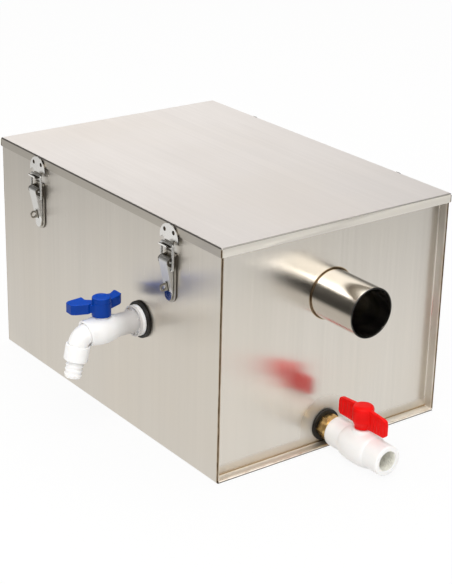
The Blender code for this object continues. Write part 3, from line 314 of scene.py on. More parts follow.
def lid_heat(finish):
    """Tint at the four welded corners of the lid's skirt."""
    wobble = finish.minus(finish.noise((60, 60, 60), 3), 0.35)
    x = near(finish, finish.away("X"), LID_HIGH.x, 2.5 * MM, wobble)
    y = near(finish, finish.away("Y"), LID_HIGH.y, 2.5 * MM, wobble)
    low = finish.ramp(finish.axis("Z"), LID_HIGH.z - 2.5 * MM, LID_HIGH.z - 0.6 * MM, 1, 0)
    return finish.times(finish.times(x, y), low)


def lid_painted_light_and_shade(finish, base):
    """Painted light and shade on the skirt: the long sides are painted darker, the short ends lighter,
    and a painted dark line runs along the fold.
    """
    base = finish.mix(finish.ramp(finish.facing("Y"), 0.75, 0.9), base, (0.56, 0.52, 0.455))
    base = finish.mix(finish.ramp(finish.facing("X"), 0.75, 0.9), base, (0.97, 0.925, 0.84))
    up = finish.facing("Z")
    fold = finish.times(finish.ramp(up, 0.08, 0.3), finish.ramp(up, 0.84, 0.96, 1, 0))
    return finish.mix(finish.times(fold, 0.6), base, (0.2, 0.18, 0.15))


def rim_painted_highlight(finish, base):
    """The lip of an end panel's rim is painted bright: a painted highlight on the ground lip."""
    lip = finish.ramp(finish.away("X"), WRAP_HIGH.x - 1.6 * MM, WRAP_HIGH.x - 0.7 * MM)
    return finish.mix(lip, base, (0.96, 0.915, 0.86))


def rim_dull(finish):
    """The end panels' rims, and the panels just over the foot, are ground, not polished."""
    rim = finish.ramp(finish.away("X"), PANEL_X + 0.8 * MM, PANEL_X + 2.4 * MM, 0, 0.26)
    foot = finish.ramp(finish.axis("Z"), 5 * MM, 15 * MM, 0.26, 0)
    return finish.most(rim, foot)


def outlet_dull(finish):
    """Handling has dulled the outlet panel round the drain fitting."""
    y = finish.minus(finish.axis("Y"), PIVOT["valve_turn"].y)
    z = finish.minus(finish.axis("Z"), PIVOT["valve_turn"].z)
    away = finish.math("SQRT", finish.plus(finish.times(y, y), finish.times(z, z)))
    return finish.most(rim_dull(finish), finish.ramp(away, 19 * MM, 36 * MM, 0.34, 0))


def panel_heat(pipe_height):
    """Weld tint round the pipe and along the rim of an end panel, and painted shade in the fold at the
    foot of its recess.
    """

    def heat(finish):
        wobble = finish.minus(finish.noise((26, 26, 26), 3), 0.35)
        y = finish.axis("Y")
        z = finish.axis("Z")
        up = finish.minus(z, pipe_height)
        square = finish.plus(finish.times(y, y), finish.times(up, up))
        ring = near(finish, finish.math("SQRT", square), PIPE_RADIUS + 0.6 * MM, 2.2 * MM, wobble)
        along = finish.away("X")
        edge = WRAP_HIGH.y - SHEET - FIT
        side = near(finish, finish.math("ABSOLUTE", y), edge, 2 * MM, wobble)
        lip = near(finish, along, WRAP_HIGH.x, 7 * MM, wobble)
        foot = near(finish, z, SHEET + FIT + 0.9 * MM, 2.2 * MM)
        # Painted shade: the fold at the foot of the recess is darkened in the weld tint's colours.
        crease = near(finish, along, PANEL_X + 0.7 * MM, 2.2 * MM)
        rim = finish.times(finish.times(side, lip), 0.75)
        fold = finish.times(finish.times(foot, crease), 0.9)
        return finish.most(ring, finish.most(rim, fold))

    return heat


def pipe_heat(finish):
    """Tint on the tube beside its weld."""
    wobble = finish.minus(finish.noise((40, 40, 40), 2), 0.35)
    along = finish.away("X")
    return near(finish, along, PANEL_X, 3.2 * MM, wobble)


def polished(name, roughness, colour, edge, satin=None):
    """Polished metal with light scratches and smears, with painted shade where the edge mask is 1."""
    finish = Finish(name, 1.0, roughness)
    smear = finish.noise((22, 22, 22), 4)
    scratch = finish.noise((1800, 240, 1800), 2)
    base = finish.mix(finish.ramp(smear, 0.3, 0.75), [c * 0.93 for c in colour], colour)
    base = finish.mix(edge(finish), base, (0.11, 0.097, 0.08))
    finish.set("Base Color", base)
    rough = finish.plus(finish.times(smear, 0.12), roughness - 0.06)
    if satin:
        rough = finish.plus(rough, satin(finish))
    finish.set("Roughness", rough)
    finish.set("Normal", finish.bump(scratch, 0.00001, 0.3))
    return finish.material


def painted_edge_shade(finish):
    """Painted shade: rounded edges and knuckles are painted darker than the flats."""
    flat = finish.most(finish.facing("X"), finish.facing("Y"))
    return finish.ramp(flat, 0.7, 0.92, 0.5, 0)


def painted_plate_edge_shade(finish):
    """Painted shade on the sheared edges of a plate."""
    return finish.ramp(finish.facing("Y"), 0.4, 0.75, 0.9, 0)


def base_painted_edge_shade(finish):
    """Painted shade on the cut edges of a latch's base plate, but not on its padlock eye."""
    eye = PIVOT["lever_hinge_front_left"].z - 20 * MM
    clear = finish.ramp(finish.axis("Z"), eye - 2 * MM, eye, 0.35, 1)
    out = finish.ramp(finish.away("Y"), WRAP_HIGH.y + 1.8 * MM, WRAP_HIGH.y + 2.2 * MM)
    return finish.times(painted_plate_edge_shade(finish), finish.most(clear, finish.minus(1, out)))


def above_tip(finish):
    """The levers are satin down to their polished tips."""
    low = PIVOT["lever_hinge_front_left"].z - 30 * MM
    return finish.ramp(finish.axis("Z"), low, low + 2 * MM, 0, 0.33)


def tube_steel():
    """The waste tubes: fine rings of polishing, with highlights drawn out along the tube."""
    finish = Finish("tube_steel", 1.0, 0.16)
    rings = finish.noise((1500, 30, 30), 2)
    smear = finish.noise((18, 30, 30), 3)
    base = finish.mix(finish.ramp(smear, 0.3, 0.7), (0.66, 0.63, 0.585), (0.74, 0.71, 0.665))
    mask = pipe_heat(finish)
    along = finish.away("X")
    # The tube's end, its last 0.7 mm, is painted near black: painted shade.
    base = finish.mix(finish.ramp(along, PIPE_END - 0.7 * MM, PIPE_END - 0.2 * MM), base,
                      (0.05, 0.047, 0.045))
    base = finish.mix(finish.ramp(mask, 0.05, 0.5, 0, 0.8), base, STRAW)
    base = finish.mix(finish.ramp(mask, 0.5, 1.0), base, BROWN)
    finish.set("Base Color", base)
    finish.set("Roughness", finish.plus(finish.times(rings, 0.08), 0.12))
    finish.set("Normal", finish.bump(rings, 0.00001, 0.4))
    return finish.material


def plastic(name, colour, roughness, sheen_depth=0.0, mottle=0.04, gloss=0.5, tone=None):
    """Moulded plastic: faint flow marks, slight unevenness of gloss and a fine orange peel."""
    finish = Finish(name, 0.0, roughness)
    flow = finish.noise((55, 55, 120), 3)
    grain = finish.noise((900, 900, 900), 2)
    low = [c * (1 - mottle) for c in colour]
    high = [min(1, c * (1 + mottle)) for c in colour]
    base = finish.mix(finish.ramp(flow, 0.3, 0.7), low, high)
    finish.set("Base Color", tone(finish, base) if tone else base)
    finish.set("Roughness", finish.plus(finish.times(flow, 0.1), roughness - 0.05))
    finish.set("Normal", finish.bump(grain, 0.00002, 0.25, finish.bump(flow, 0.0002, 0.2)))
    finish.set("Specular IOR Level", gloss)
    if sheen_depth:
        finish.set("Subsurface Weight", 0.25)
        finish.set("Subsurface Radius", (sheen_depth, sheen_depth * 0.9, sheen_depth * 0.8))
        finish.set("Subsurface Scale", 1.0)
    return finish.material


def neck_painted_shade(finish, base):
    """Painted shade: the tap's neck is painted greyer towards the wall."""
    out = finish.away("Y")
    wall = WRAP_HIGH.y
    shade = finish.times(finish.ramp(out, wall + 20 * MM, wall + 38 * MM, 1, 0),
                        finish.ramp(out, wall + 6.5 * MM, wall + 9.5 * MM))
    return finish.mix(shade, base, (0.57, 0.55, 0.535))


def upright_painted_shade(share):
    """Painted shade: upright faces are painted darker than the faces that the light falls on."""

    def tone(finish, base):
        top = finish.ramp(finish.facing("Z"), 0.3, 0.8, share, 1)
        node = finish.add("ShaderNodeVectorMath", operation="SCALE")
        finish.feed(node.inputs[0], base)
        finish.feed(node.inputs["Scale"], top)
        return node.outputs[0]

    return tone


def rubber():
    finish = Finish("black_rubber", 0.0, 0.5)
    grain = finish.noise((1200, 1200, 1200), 3)
    bloom = finish.noise((90, 90, 90), 3)
    finish.set("Base Color", finish.mix(finish.ramp(bloom, 0.35, 0.8), (0.010, 0.009, 0.008),
                                        (0.03, 0.027, 0.022)))
    finish.set("Roughness", finish.plus(finish.times(bloom, 0.2), 0.38))
    finish.set("Normal", finish.bump(grain, 0.00005, 0.4))
    finish.set("Specular IOR Level", 0.25)
    return finish.material


def brass():
    finish = Finish("cast_brass", 1.0, 0.28)
    tool = finish.noise((1600, 60, 60), 2)
    stain = finish.noise((70, 70, 70), 4)
    base = finish.mix(finish.ramp(stain, 0.35, 0.75), (0.80, 0.56, 0.24), (0.56, 0.35, 0.12))
    finish.set("Base Color", base)
    finish.set("Roughness", finish.plus(finish.times(stain, 0.25), 0.16))
    finish.set("Normal", finish.bump(tool, 0.00002, 0.4))
    return finish.material


def weld():
    """Heat-coloured weld bead."""
    finish = Finish("weld_bead", 1.0, 0.35)
    tint = finish.noise((120, 120, 120), 4)
    base = finish.mix(finish.ramp(tint, 0.3, 0.7), (0.10, 0.06, 0.03), (0.27, 0.20, 0.13))
    finish.set("Base Color", base)
    finish.set("Normal", finish.bump(finish.noise((700, 700, 700), 2), 0.0002, 0.6))
    return finish.material


def bead():
    """A bead with a painted highlight on top; its dark underside is partly the heat's colour and partly
    painted shade.
    """
    finish = Finish("foot_bead", 1.0, 0.42)
    tint = finish.noise((90, 90, 90), 4)
    bright = finish.mix(finish.ramp(tint, 0.35, 0.8), (0.95, 0.89, 0.80), (0.66, 0.54, 0.42))
    dark = finish.mix(finish.ramp(tint, 0.3, 0.7), (0.05, 0.043, 0.03), (0.13, 0.105, 0.07))
    finish.set("Base Color", finish.mix(finish.ramp(finish.normal("Z"), -0.1, 0.35), dark, bright))
    finish.set("Normal", finish.bump(finish.noise((500, 500, 500), 2), 0.0001, 0.5))
    return finish.material


WALL_GRAIN = (260, 260, 4)
LID_GRAIN = (4, 260, 260)
OUTLET_HEIGHT = (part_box("outlet_pipe")[0].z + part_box("outlet_pipe")[1].z) / 2
INLET_HEIGHT = (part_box("inlet_pipe")[0].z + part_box("inlet_pipe")[1].z) / 2
WRAP_STEEL = steel("wrap_steel", WALL_GRAIN, "Z", 0.28, heat=wrap_heat, tone=wrap_painted_reflection, dull=wrap_dull)
OUTLET_STEEL = steel("outlet_panel_steel", WALL_GRAIN, "Z", 0.2, PANEL_COLOUR, panel_heat(OUTLET_HEIGHT),
                     tone=rim_painted_highlight, dull=outlet_dull)
INLET_STEEL = steel("inlet_panel_steel", WALL_GRAIN, "Z", 0.2, PANEL_COLOUR, panel_heat(INLET_HEIGHT),
                    tone=rim_painted_highlight, dull=rim_dull)
LID_STEEL = steel("lid_steel", LID_GRAIN, "X", 0.3, LID_COLOUR, lid_heat, tone=lid_painted_light_and_shade)
INNER_STEEL = steel("inner_steel", WALL_GRAIN, "Z", 0.34)
TUBE_STEEL = tube_steel()
LATCH_STEEL = polished("latch_steel", 0.17, (0.86, 0.85, 0.82), painted_edge_shade, above_tip)
KEEPER_STEEL = polished("keeper_steel", 0.2, (0.92, 0.905, 0.87), painted_plate_edge_shade)
# The base plates' steel is painted darker than the lever's: painted shade beside the levers.
BASE_STEEL = polished("base_steel", 0.3, (0.58, 0.545, 0.48), base_painted_edge_shade)
BRASS = brass()
RUBBER = rubber()
WELD = weld()
BEAD = bead()
WHITE = plastic("white_plastic", (0.90, 0.895, 0.89), 0.32, 1.2 * MM, 0.012)
NECK_WHITE = plastic("tap_white_plastic", (0.90, 0.895, 0.89), 0.32, 1.2 * MM, 0.012, tone=neck_painted_shade)
CREAM = plastic("bore_plastic", (0.82, 0.81, 0.72), 0.45, 0, 0.03)
BLUE = plastic("blue_plastic", (0.001, 0.058, 0.42), 0.33, gloss=0.16, tone=upright_painted_shade(0.66))
RED = plastic("red_plastic", (0.92, 0.003, 0.002), 0.4, gloss=0.15, tone=upright_painted_shade(0.82))
SEAL = plastic("seat_plastic", (0.85, 0.85, 0.83), 0.45)


# Mesh tools


def at(x, y, z):
    return Matrix.Translation((x, y, z))


def to_object(name, shape):
    data = bpy.data.meshes.new(name)
    shape.to_mesh(data)
    shape.free()
    item = bpy.data.objects.new(name, data)
    bpy.context.scene.collection.objects.link(item)
    return item


def evaluated(item):
    """The bmesh of an object with its modifiers, and the object removed."""
    bpy.context.view_layer.update()
    graph = bpy.context.evaluated_depsgraph_get()
    data = bpy.data.meshes.new_from_object(item.evaluated_get(graph))
    shape = bmesh.new()
    shape.from_mesh(data)
    shape.transform(item.matrix_world)
    bpy.data.meshes.remove(data)
    bpy.data.objects.remove(item, do_unlink=True)
    return shape


def piece(name, shape, material, body="tank", nodes=(), angle=36, weighted=True):
    """Make a finished piece of a bmesh that is in place, riding on a body."""
    item = to_object(name, shape)
    item.data.materials.append(material)
    item.data.shade_smooth()
    item.data.set_sharp_from_angle(angle=math.radians(angle))
    if weighted:
        normals = item.modifiers.new("normals", "WEIGHTED_NORMAL")
        normals.keep_sharp = True
    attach(item, body)
    if nodes:
        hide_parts(*nodes)
    return item


def boolean(shape, other, operation):
    first = to_object("first", shape)
    second = to_object("second", other)
    change = first.modifiers.new("change", "BOOLEAN")
    change.operation = operation
    change.solver = "EXACT"
    change.object = second
    result = evaluated(first)
    bpy.data.objects.remove(second, do_unlink=True)
    return result


def cut(shape, *others):
    for other in others:
        shape = boolean(shape, other, "DIFFERENCE")
    return shape


def join(shape, *others):
    for other in others:
        shape = boolean(shape, other, "UNION")
    return shape


def bevelled(shape, width, segments=2, angle=40):
    item = to_object("bevelled", shape)
    change = item.modifiers.new("edges", "BEVEL")
    change.width = width
    change.segments = segments
    change.limit_method = "ANGLE"
    change.angle_limit = math.radians(angle)
    change.miter_outer = "MITER_ARC"
    return evaluated(item)


def moulded(shape, voxel, rounds=4):
    """Fuse and soften a form, as a mould's radii do."""
    item = to_object("moulded", shape)
    change = item.modifiers.new("fuse", "REMESH")
    change.mode = "VOXEL"
    change.voxel_size = voxel * 1
    soft = item.modifiers.new("soften", "SMOOTH")
    soft.factor = 0.5
    soft.iterations = rounds
    return evaluated(item)


def box(low, high, matrix=Matrix()):
    shape = bmesh.new()
    bmesh.ops.create_cube(shape, size=1)
    low, high = Vector(low), Vector(high)
    bmesh.ops.scale(shape, vec=high - low, verts=shape.verts)
    bmesh.ops.translate(shape, vec=(low + high) / 2, verts=shape.verts)
    shape.transform(matrix)
    return shape


def lathe(profile, matrix=Matrix(), steps=72, squareness=None):
    """Turn (radius, height) points about Z, from the top down the outer side; closed if hollow."""
    shape = bmesh.new()
    rings = []
    for radius, height in profile:
        if radius < 1e-7:
            rings.append([shape.verts.new((0, 0, height))])
            continue
        ring = []
        for i in range(steps):
            angle = 2 * math.pi * i / steps
            reach = radius * (squareness(angle) if squareness else 1)
            ring.append(shape.verts.new((reach * math.cos(angle), reach * math.sin(angle), height)))
        rings.append(ring)
    pairs = list(zip(rings, rings[1:]))
    if len(rings[0]) > 1:
        pairs.append((rings[-1], rings[0]))
    for upper, lower in pairs:
        for i in range(steps):
            j = (i + 1) % steps
            corners = [upper[i % len(upper)], lower[i % len(lower)], lower[j % len(lower)],
                       upper[j % len(upper)]]
            unique = list(dict.fromkeys(corners))
            if len(unique) > 2:
                shape.faces.new(unique)
    bmesh.ops.recalc_face_normals(shape, faces=shape.faces)
    shape.transform(matrix)
    return shape


def rod(radius, low, high, matrix=Matrix(), steps=48):
    return lathe([(0, high), (radius, high), (radius, low), (0, low)], matrix, steps)


def rounded_profile(points, radius, steps=3):
    """Round the corners of a closed profile of (radius, height) points."""
    result = []
    count = len(points)
    for i in range(count):
        before, corner, after = (Vector(points[(i + k) % count]) for k in (-1, 0, 1))
        back, onward = before - corner, after - corner
        reach = min(radius, back.length * 0.45, onward.length * 0.45)
        first = corner + back.normalized() * reach
        last = corner + onward.normalized() * reach
        for k in range(steps + 1):
            t = k / steps
            point = first.lerp(corner, t).lerp(corner.lerp(last, t), t)
            result.append((point.x, point.y))
    return result


def arc(centre, radius, start, end, steps):
    points = []
    for i in range(steps + 1):
        angle = math.radians(start + (end - start) * i / steps)
        points.append((centre[0] + radius * math.cos(angle), centre[1] + radius * math.sin(angle)))
    return points


def smooth_line(points, steps=6):
    """A smooth curve through points of any dimension."""
    points = [Vector(p) for p in points]
    padded = [2 * points[0] - points[1], *points, 2 * points[-1] - points[-2]]
    result = []
    for a, b, c, d in zip(padded, padded[1:], padded[2:], padded[3:]):
        for k in range(steps):
            t = k / steps
            result.append(0.5 * (2 * b + (c - a) * t + (2 * a - 5 * b + 4 * c - d) * t * t
                                 + (3 * b - a - 3 * c + d) * t ** 3))
    result.append(points[-1])
    return result


def bent_line(corners, radius, steps=5):
    """Round the inner corners of an open polyline to one radius."""
    path = [Vector(corners[0])]
    for before, corner, after in zip(corners, corners[1:], corners[2:]):
        before, corner, after = Vector(before), Vector(corner), Vector(after)
        back = (before - corner).normalized()
        onward = (after - corner).normalized()
        half = back.angle(onward) / 2
        middle = corner + (back + onward).normalized() * radius / math.sin(half)
        first = corner + back * radius / math.tan(half) - middle
        last = corner + onward * radius / math.tan(half) - middle
        for i in range(steps + 1):
            path.append(middle + first.lerp(last, i / steps).normalized() * radius)
    path.append(Vector(corners[-1]))
    return path


def sweep(path, radius, matrix=Matrix(), sides=16, closed=False, ripple=None):
    """A round bar along a path; ripple gives its radius's factor at a point's number and side."""
    points = [Vector(p) for p in path]
    count = len(points)
    shape = bmesh.new()
    rings = []
    across = None
    for i, point in enumerate(points):
        if closed:
            tangent = (points[(i + 1) % count] - points[i - 1]).normalized()
        else:
            tangent = (points[min(i + 1, count - 1)] - points[max(i - 1, 0)]).normalized()
        if across is None:
            across = tangent.orthogonal().normalized()
        across = (across - tangent * across.dot(tangent)).normalized()
        other = tangent.cross(across)
        ring = []
        for k in range(sides):
            angle = 2 * math.pi * k / sides
            reach = radius * (ripple(i, k) if ripple else 1)
            outward = across * math.cos(angle) + other * math.sin(angle)
            ring.append(shape.verts.new(point + outward * reach))
        rings.append(ring)
    pairs = list(zip(rings, rings[1:]))
    if closed:
        pairs.append((rings[-1], rings[0]))
    for here, there in pairs:
        for k in range(sides):
            m = (k + 1) % sides
            shape.faces.new((here[k], here[m], there[m], there[k]))
    if not closed:
        shape.faces.new(rings[0])
        shape.faces.new(rings[-1])
    bmesh.ops.recalc_face_normals(shape, faces=shape.faces)
    shape.transform(matrix)
    return shape


def plate(outline, low, high, matrix=Matrix(), holes=(), edge=0.0):
    """A flat plate with holes and rounded edges."""
    data = bpy.data.curves.new("outline", "CURVE")
    data.dimensions = "2D"
    data.fill_mode = "BOTH"
    data.extrude = (high - low) / 2 - edge
    data.bevel_depth = edge
    data.bevel_resolution = 1
    data.offset = -edge
    for loop in (outline, *holes):
        spline = data.splines.new("POLY")
        spline.points.add(len(loop) - 1)
        for point, place in zip(spline.points, loop):
            point.co = (place[0], place[1], 0, 1)
        spline.use_cyclic_u = True
    item = bpy.data.objects.new("outline", data)
    bpy.context.scene.collection.objects.link(item)
    item.matrix_world = at(0, 0, (low + high) / 2)
    shape = evaluated(item)
    bmesh.ops.remove_doubles(shape, verts=shape.verts, dist=1e-6)
    bmesh.ops.recalc_face_normals(shape, faces=shape.faces)
    shape.transform(matrix)
    return shape


def folded(path, stations, keep=None):
    """Sheet folded along a (y, z) path and run through stations in x."""
    shape = bmesh.new()
    rows = [[shape.verts.new((x, *point)) for point in path] for x in stations]
    for row, (here, there) in enumerate(zip(rows, rows[1:])):
        for i in range(len(path) - 1):
            if keep is None or keep(row, path[i], path[i + 1]):
                shape.faces.new((here[i], here[i + 1], there[i + 1], there[i]))
    loose = [vert for vert in shape.verts if not vert.link_faces]
    bmesh.ops.delete(shape, geom=loose, context="VERTS")
    return thickened(shape)


def thickened(shape):
    """A surface made as thick as the sheet, inward."""
    item = to_object("sheet", shape)
    solid = item.modifiers.new("sheet", "SOLIDIFY")
    solid.thickness = SHEET
    solid.offset = -1
    solid.use_even_offset = True
    return evaluated(item)


def tray(low, high, open_side, rounding, matrix=Matrix()):
    """A box of sheet with rounded edges and one side left open."""
    shape = box(low, high)
    shape.normal_update()
    side = max(shape.faces, key=lambda face: face.normal.dot(Vector(open_side)))
    bmesh.ops.delete(shape, geom=[side], context="FACES_ONLY")
    edges = [edge for edge in shape.edges if len(edge.link_faces) == 2]
    bmesh.ops.bevel(shape, geom=edges, offset=rounding, segments=4, profile=0.5, affect="EDGES")
    shape = thickened(shape)
    shape.transform(matrix)
    return shape


def helix(radius, start, rise, turns, per_turn=24):
    """Points of a thread's crest that climbs from start along Z by rise a turn."""
    points = []
    for i in range(turns * per_turn + 1):
        angle = 2 * math.pi * i / per_turn
        points.append((radius * math.cos(angle), radius * math.sin(angle), start + i * rise / per_turn))
    return points


# Tank


def make_wrap():
    half = WRAP_HIGH.y
    inner = half - FLANGE
    rim = WRAP_HIGH.z
    corners = [(-inner, rim), (-half, rim), (-half, 0), (half, 0), (half, rim), (inner, rim)]
    ledge_end = PANEL_X - SHEET - FIT
    below = rim - FOLD_RADIUS + FIT
    stations = (WRAP_LOW.x, -ledge_end, ledge_end, WRAP_HIGH.x)

    def keep(row, here, there):
        return row == 1 or max(here[1], there[1]) < below

    shape = folded(bent_line(corners, FOLD_RADIUS), stations, keep)
    place = PIVOT["tap_turn"]
    hole = rod(HOLE_RADIUS, -10 * MM, 10 * MM, at(place.x, -half, place.z) @ ALONG_MINUS_Y)
    piece("folded_tank", cut(shape, hole), WRAP_STEEL, nodes=["tank_wrap"])


def make_end(name, node, pipe_height, turn, drain, material):
    reach = WRAP_HIGH.y - SHEET - FIT
    shape = tray((PANEL_X - SHEET, -reach, SHEET + FIT), (WRAP_HIGH.x, reach, WRAP_HIGH.z), (1, 0, 0),
                 FOLD_RADIUS, turn)
    hole = rod(PIPE_RADIUS + FIT, -10 * MM, 10 * MM,
               turn @ at(PANEL_X, 0, pipe_height) @ ALONG_X, 96)
    shape = cut(shape, hole)
    if drain:
        place = at(PANEL_X, PIVOT["valve_turn"].y, PIVOT["valve_turn"].z)
        shape = cut(shape, rod(HOLE_RADIUS, -8 * MM, 8 * MM, place @ ALONG_X))
    piece(name, shape, material, nodes=[node])


def rippled(seed, depth=0.12, pitch=0.9):
    def ripple(i, k):
        return 1 + depth * (0.6 * math.sin(i * pitch) + noise.noise(Vector((i * 0.13, k * 0.4, seed))))

    return ripple


def make_edge_weld(name, turn):
    """The ground bead between the wrap's edge and the end panel's rim."""
    inset = 0.62 * MM
    half = WRAP_HIGH.y - inset
    rim = WRAP_HIGH.z - 1 * MM
    foot = inset
    corners = [(-half, rim), (-half, foot), (half, foot), (half, rim)]
    path = []
    step = 2 * MM
    line = bent_line(corners, FOLD_RADIUS - inset, 4)
    for here, there in zip(line, line[1:]):
        count = max(1, round((there - here).length / step))
        path += [here.lerp(there, i / count) for i in range(count)]
    path.append(line[-1])
    points = [(WRAP_HIGH.x - 0.35 * MM, y, z) for y, z in path]
    shape = sweep(points, 0.62 * MM, turn, 8, ripple=rippled(2.5))
    piece(name, shape, WELD)


def make_foot_bead(name, turn):
    """The rolled bead under an end's rim, with a painted highlight above and dark beneath, partly heat
    colour and partly painted shade.
    """
    radius = 1.5 * MM
    reach = WRAP_HIGH.y - 1.5 * MM
    count = round(2 * reach / (0.7 * MM))
    points = [(WRAP_HIGH.x - 0.2 * MM, -reach + 2 * reach * i / count, radius) for i in range(count + 1)]
    shape = sweep(points, radius, turn, 14, ripple=lambda i, k: 1 + 0.035 * (-1) ** i)
    piece(name, shape, BEAD, angle=80)


def make_ring_weld(name, height, turn):
    steps = 150
    points = []
    for i in range(steps):
        angle = 2 * math.pi * i / steps
        reach = PIPE_RADIUS + 0.35 * MM
        points.append((PANEL_X + 0.25 * MM, reach * math.cos(angle), height + reach * math.sin(angle)))
    shape = sweep(points, 0.48 * MM, turn, 8, closed=True, ripple=rippled(7.1, 0.16, 1.7))
    piece(name, shape, WELD)


def make_lid():
    shape = tray(LID_LOW, LID_HIGH, (0, 0, -1), LID_ROUNDING)
    piece("tank_lid", shape, LID_STEEL, nodes=["lid"])
    for i, (x, y) in enumerate(((-1, -1), (1, -1), (1, 1), (-1, 1))):
        corner = Vector((x * (LID_HIGH.x - 0.55 * MM), y * (LID_HIGH.y - 0.55 * MM), 0))
        path = [(corner.x, corner.y, LID_LOW.z + 0.4 * MM + k * 1 * MM) for k in range(8)]
        shape = sweep(path, 0.6 * MM, sides=8, ripple=rippled(i, 0.2))
        piece("lid_corner_weld_%d" % (i + 1), shape, WELD)


def make_pipe(name, node, sign):
    low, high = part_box(node)
    height = (low.z + high.z) / 2
    start, end = (low.x, high.x) if sign > 0 else (-high.x, -low.x)
    turn = Matrix() if sign > 0 else Matrix.Rotation(math.pi, 4, "Z")
    bore = PIPE_RADIUS - PIPE_WALL
    profile = rounded_profile([(PIPE_RADIUS, end), (PIPE_RADIUS, start), (bore, start), (bore, end)],
                              0.74 * MM, 5)
    shape = lathe(profile, turn @ at(0, 0, height) @ ALONG_X, 128)
    piece(name, shape, TUBE_STEEL, nodes=[node])


def make_tank():
    back = Matrix.Rotation(math.pi, 4, "Z")
    make_wrap()
    make_end("outlet_end_wall", "outlet_end_panel", OUTLET_HEIGHT, Matrix(), True, OUTLET_STEEL)
    make_end("inlet_end_wall", "inlet_end_panel", INLET_HEIGHT, back, False, INLET_STEEL)
    make_edge_weld("outlet_edge_weld", Matrix())
    make_edge_weld("inlet_edge_weld", back)
    make_foot_bead("outlet_foot_bead", Matrix())
    make_foot_bead("inlet_foot_bead", back)
    make_ring_weld("outlet_pipe_weld", OUTLET_HEIGHT, Matrix())
    make_ring_weld("inlet_pipe_weld", INLET_HEIGHT, back)
    make_lid()
    make_pipe("outlet_tube", "outlet_pipe", 1)
    make_pipe("inlet_tube", "inlet_pipe", -1)


# Tap


TAP = PIVOT["tap_turn"]
TAP_WALL = at(TAP.x, WRAP_LOW.y, TAP.z) @ ALONG_MINUS_Y
TAP_AXIS = Matrix.Translation(TAP)
BALL_OUT = WRAP_LOW.y - TAP.y
FLANGE_FOOT = 3.6 * MM
FLANGE_FACE = 6.4 * MM
FLANGE_LIP = 10 * MM
FLANGE_RADIUS = 15.7 * MM
LIP_WALL = 1.3 * MM
NECK_RADIUS = 11.3 * MM
BULGE_RADIUS = 14.5 * MM
MOUTH_OUT = 64 * MM
MOUTH_RADIUS = 12.6 * MM
MOUTH_BORE = 10.4 * MM
COLLAR_RADIUS = 7.3 * MM
COLLAR_TOP = 17 * MM
NOSE_OUT = 69.6 * MM
NOSE_TILT = math.radians(12.5)
NOSE_BEND = 11 * MM
SPOUT_RADIUS = 10.1 * MM
SPOUT_BORE = 6.2 * MM


def make_tap_body():
    outline = smooth_line([(BULGE_RADIUS - 1.1 * MM, BALL_OUT + 12 * MM),
                           (BULGE_RADIUS - 0.2 * MM, BALL_OUT + 5 * MM),
                           (BULGE_RADIUS, BALL_OUT), (BULGE_RADIUS - 0.6 * MM, BALL_OUT - 7 * MM),
                           (NECK_RADIUS + 0.8 * MM, BALL_OUT - 14 * MM),
                           (NECK_RADIUS, BALL_OUT - 20 * MM),
                           (NECK_RADIUS, FLANGE_LIP)], 5)
    end = MOUTH_OUT + 6 * MM
    lip = FLANGE_RADIUS - LIP_WALL
    profile = [(0, end), (MOUTH_RADIUS, end), *[tuple(p) for p in outline], (NECK_RADIUS, FLANGE_FACE),
               (lip, FLANGE_FACE), (lip, FLANGE_LIP), (FLANGE_RADIUS, FLANGE_LIP),
               (FLANGE_RADIUS, FLANGE_FOOT),
               (0, FLANGE_FOOT)]
    shape = lathe(profile, TAP_WALL, 96)
    for i in range(3):
        turn = TAP_WALL @ Matrix.Rotation(math.pi * i / 3 + math.pi / 6, 4, "Z")
        reach = lip + LIP_WALL / 2
        shape = join(shape, box((-reach, -1.1 * MM, FLANGE_FACE - 1 * MM),
                                (reach, 1.1 * MM, FLANGE_LIP - FIT), turn))
    slant = TAP_WALL @ at(0, 0, MOUTH_OUT - 1 * MM) @ Matrix.Rotation(NOSE_TILT, 4, "X")
    shape = cut(shape, box((-0.03, -0.03, 0), (0.03, 0.03, 0.03), slant))
    shape = join(shape, rod(COLLAR_RADIUS, 5 * MM, COLLAR_TOP, TAP_AXIS))
    shape = cut(shape, rod(MOUTH_BORE, BALL_OUT - 10 * MM, end + 5 * MM, TAP_WALL, 64))
    shape = moulded(shape, 0.42 * MM, 4)
    piece("tap_housing", shape, NECK_WHITE, nodes=["tap_body"], weighted=False)
    shank = rod(10.3 * MM, -25 * MM, FLANGE_FOOT + 1 * MM, TAP_WALL, 64)
    shank = cut(shank, rod(6.5 * MM, -30 * MM, 10 * MM, TAP_WALL))
    piece("tap_shank", shank, WHITE)
    thread = helix(THREAD_RADIUS, -2 * MM, -THREAD_PITCH, 12)
    piece("tap_thread", sweep(thread, 0.7 * MM, TAP_WALL, 6), WHITE)


def nose_frame():
    corner = at(TAP.x, WRAP_LOW.y - NOSE_OUT, TAP.z)
    return corner @ Matrix.Rotation(-NOSE_TILT, 4, "X")


def make_spout():
    turn = math.pi / 2 - NOSE_TILT
    lead = NOSE_BEND * math.tan(turn / 2)
    middle_out = NOSE_OUT - lead
    steps = 14
    bend = []
    for i in range(steps + 1):
        angle = turn * i / steps
        out = middle_out + NOSE_BEND * math.sin(angle)
        bend.append(Vector((TAP.x, WRAP_LOW.y - out, TAP.z - NOSE_BEND * (1 - math.cos(angle)))))
    start = BALL_OUT + 11 * MM
    end = nose_frame() @ Vector((0, 0, -17.6 * MM))
    beyond = nose_frame() @ Vector((0, 0, -24 * MM))
    first = Vector((TAP.x, WRAP_LOW.y - start, TAP.z))
    lead_in = [first, first.lerp(bend[0], 0.5)]
    shape = sweep([*lead_in, *bend, bend[-1].lerp(end, 0.5), end], SPOUT_RADIUS, sides=64)
    before = first + Vector((0, 5 * MM, 0))
    shape = cut(shape, sweep([before, *lead_in, *bend, end, beyond], SPOUT_BORE, sides=32))
    piece("spout_elbow", shape, WHITE, nodes=["tap_spout"], weighted=False)


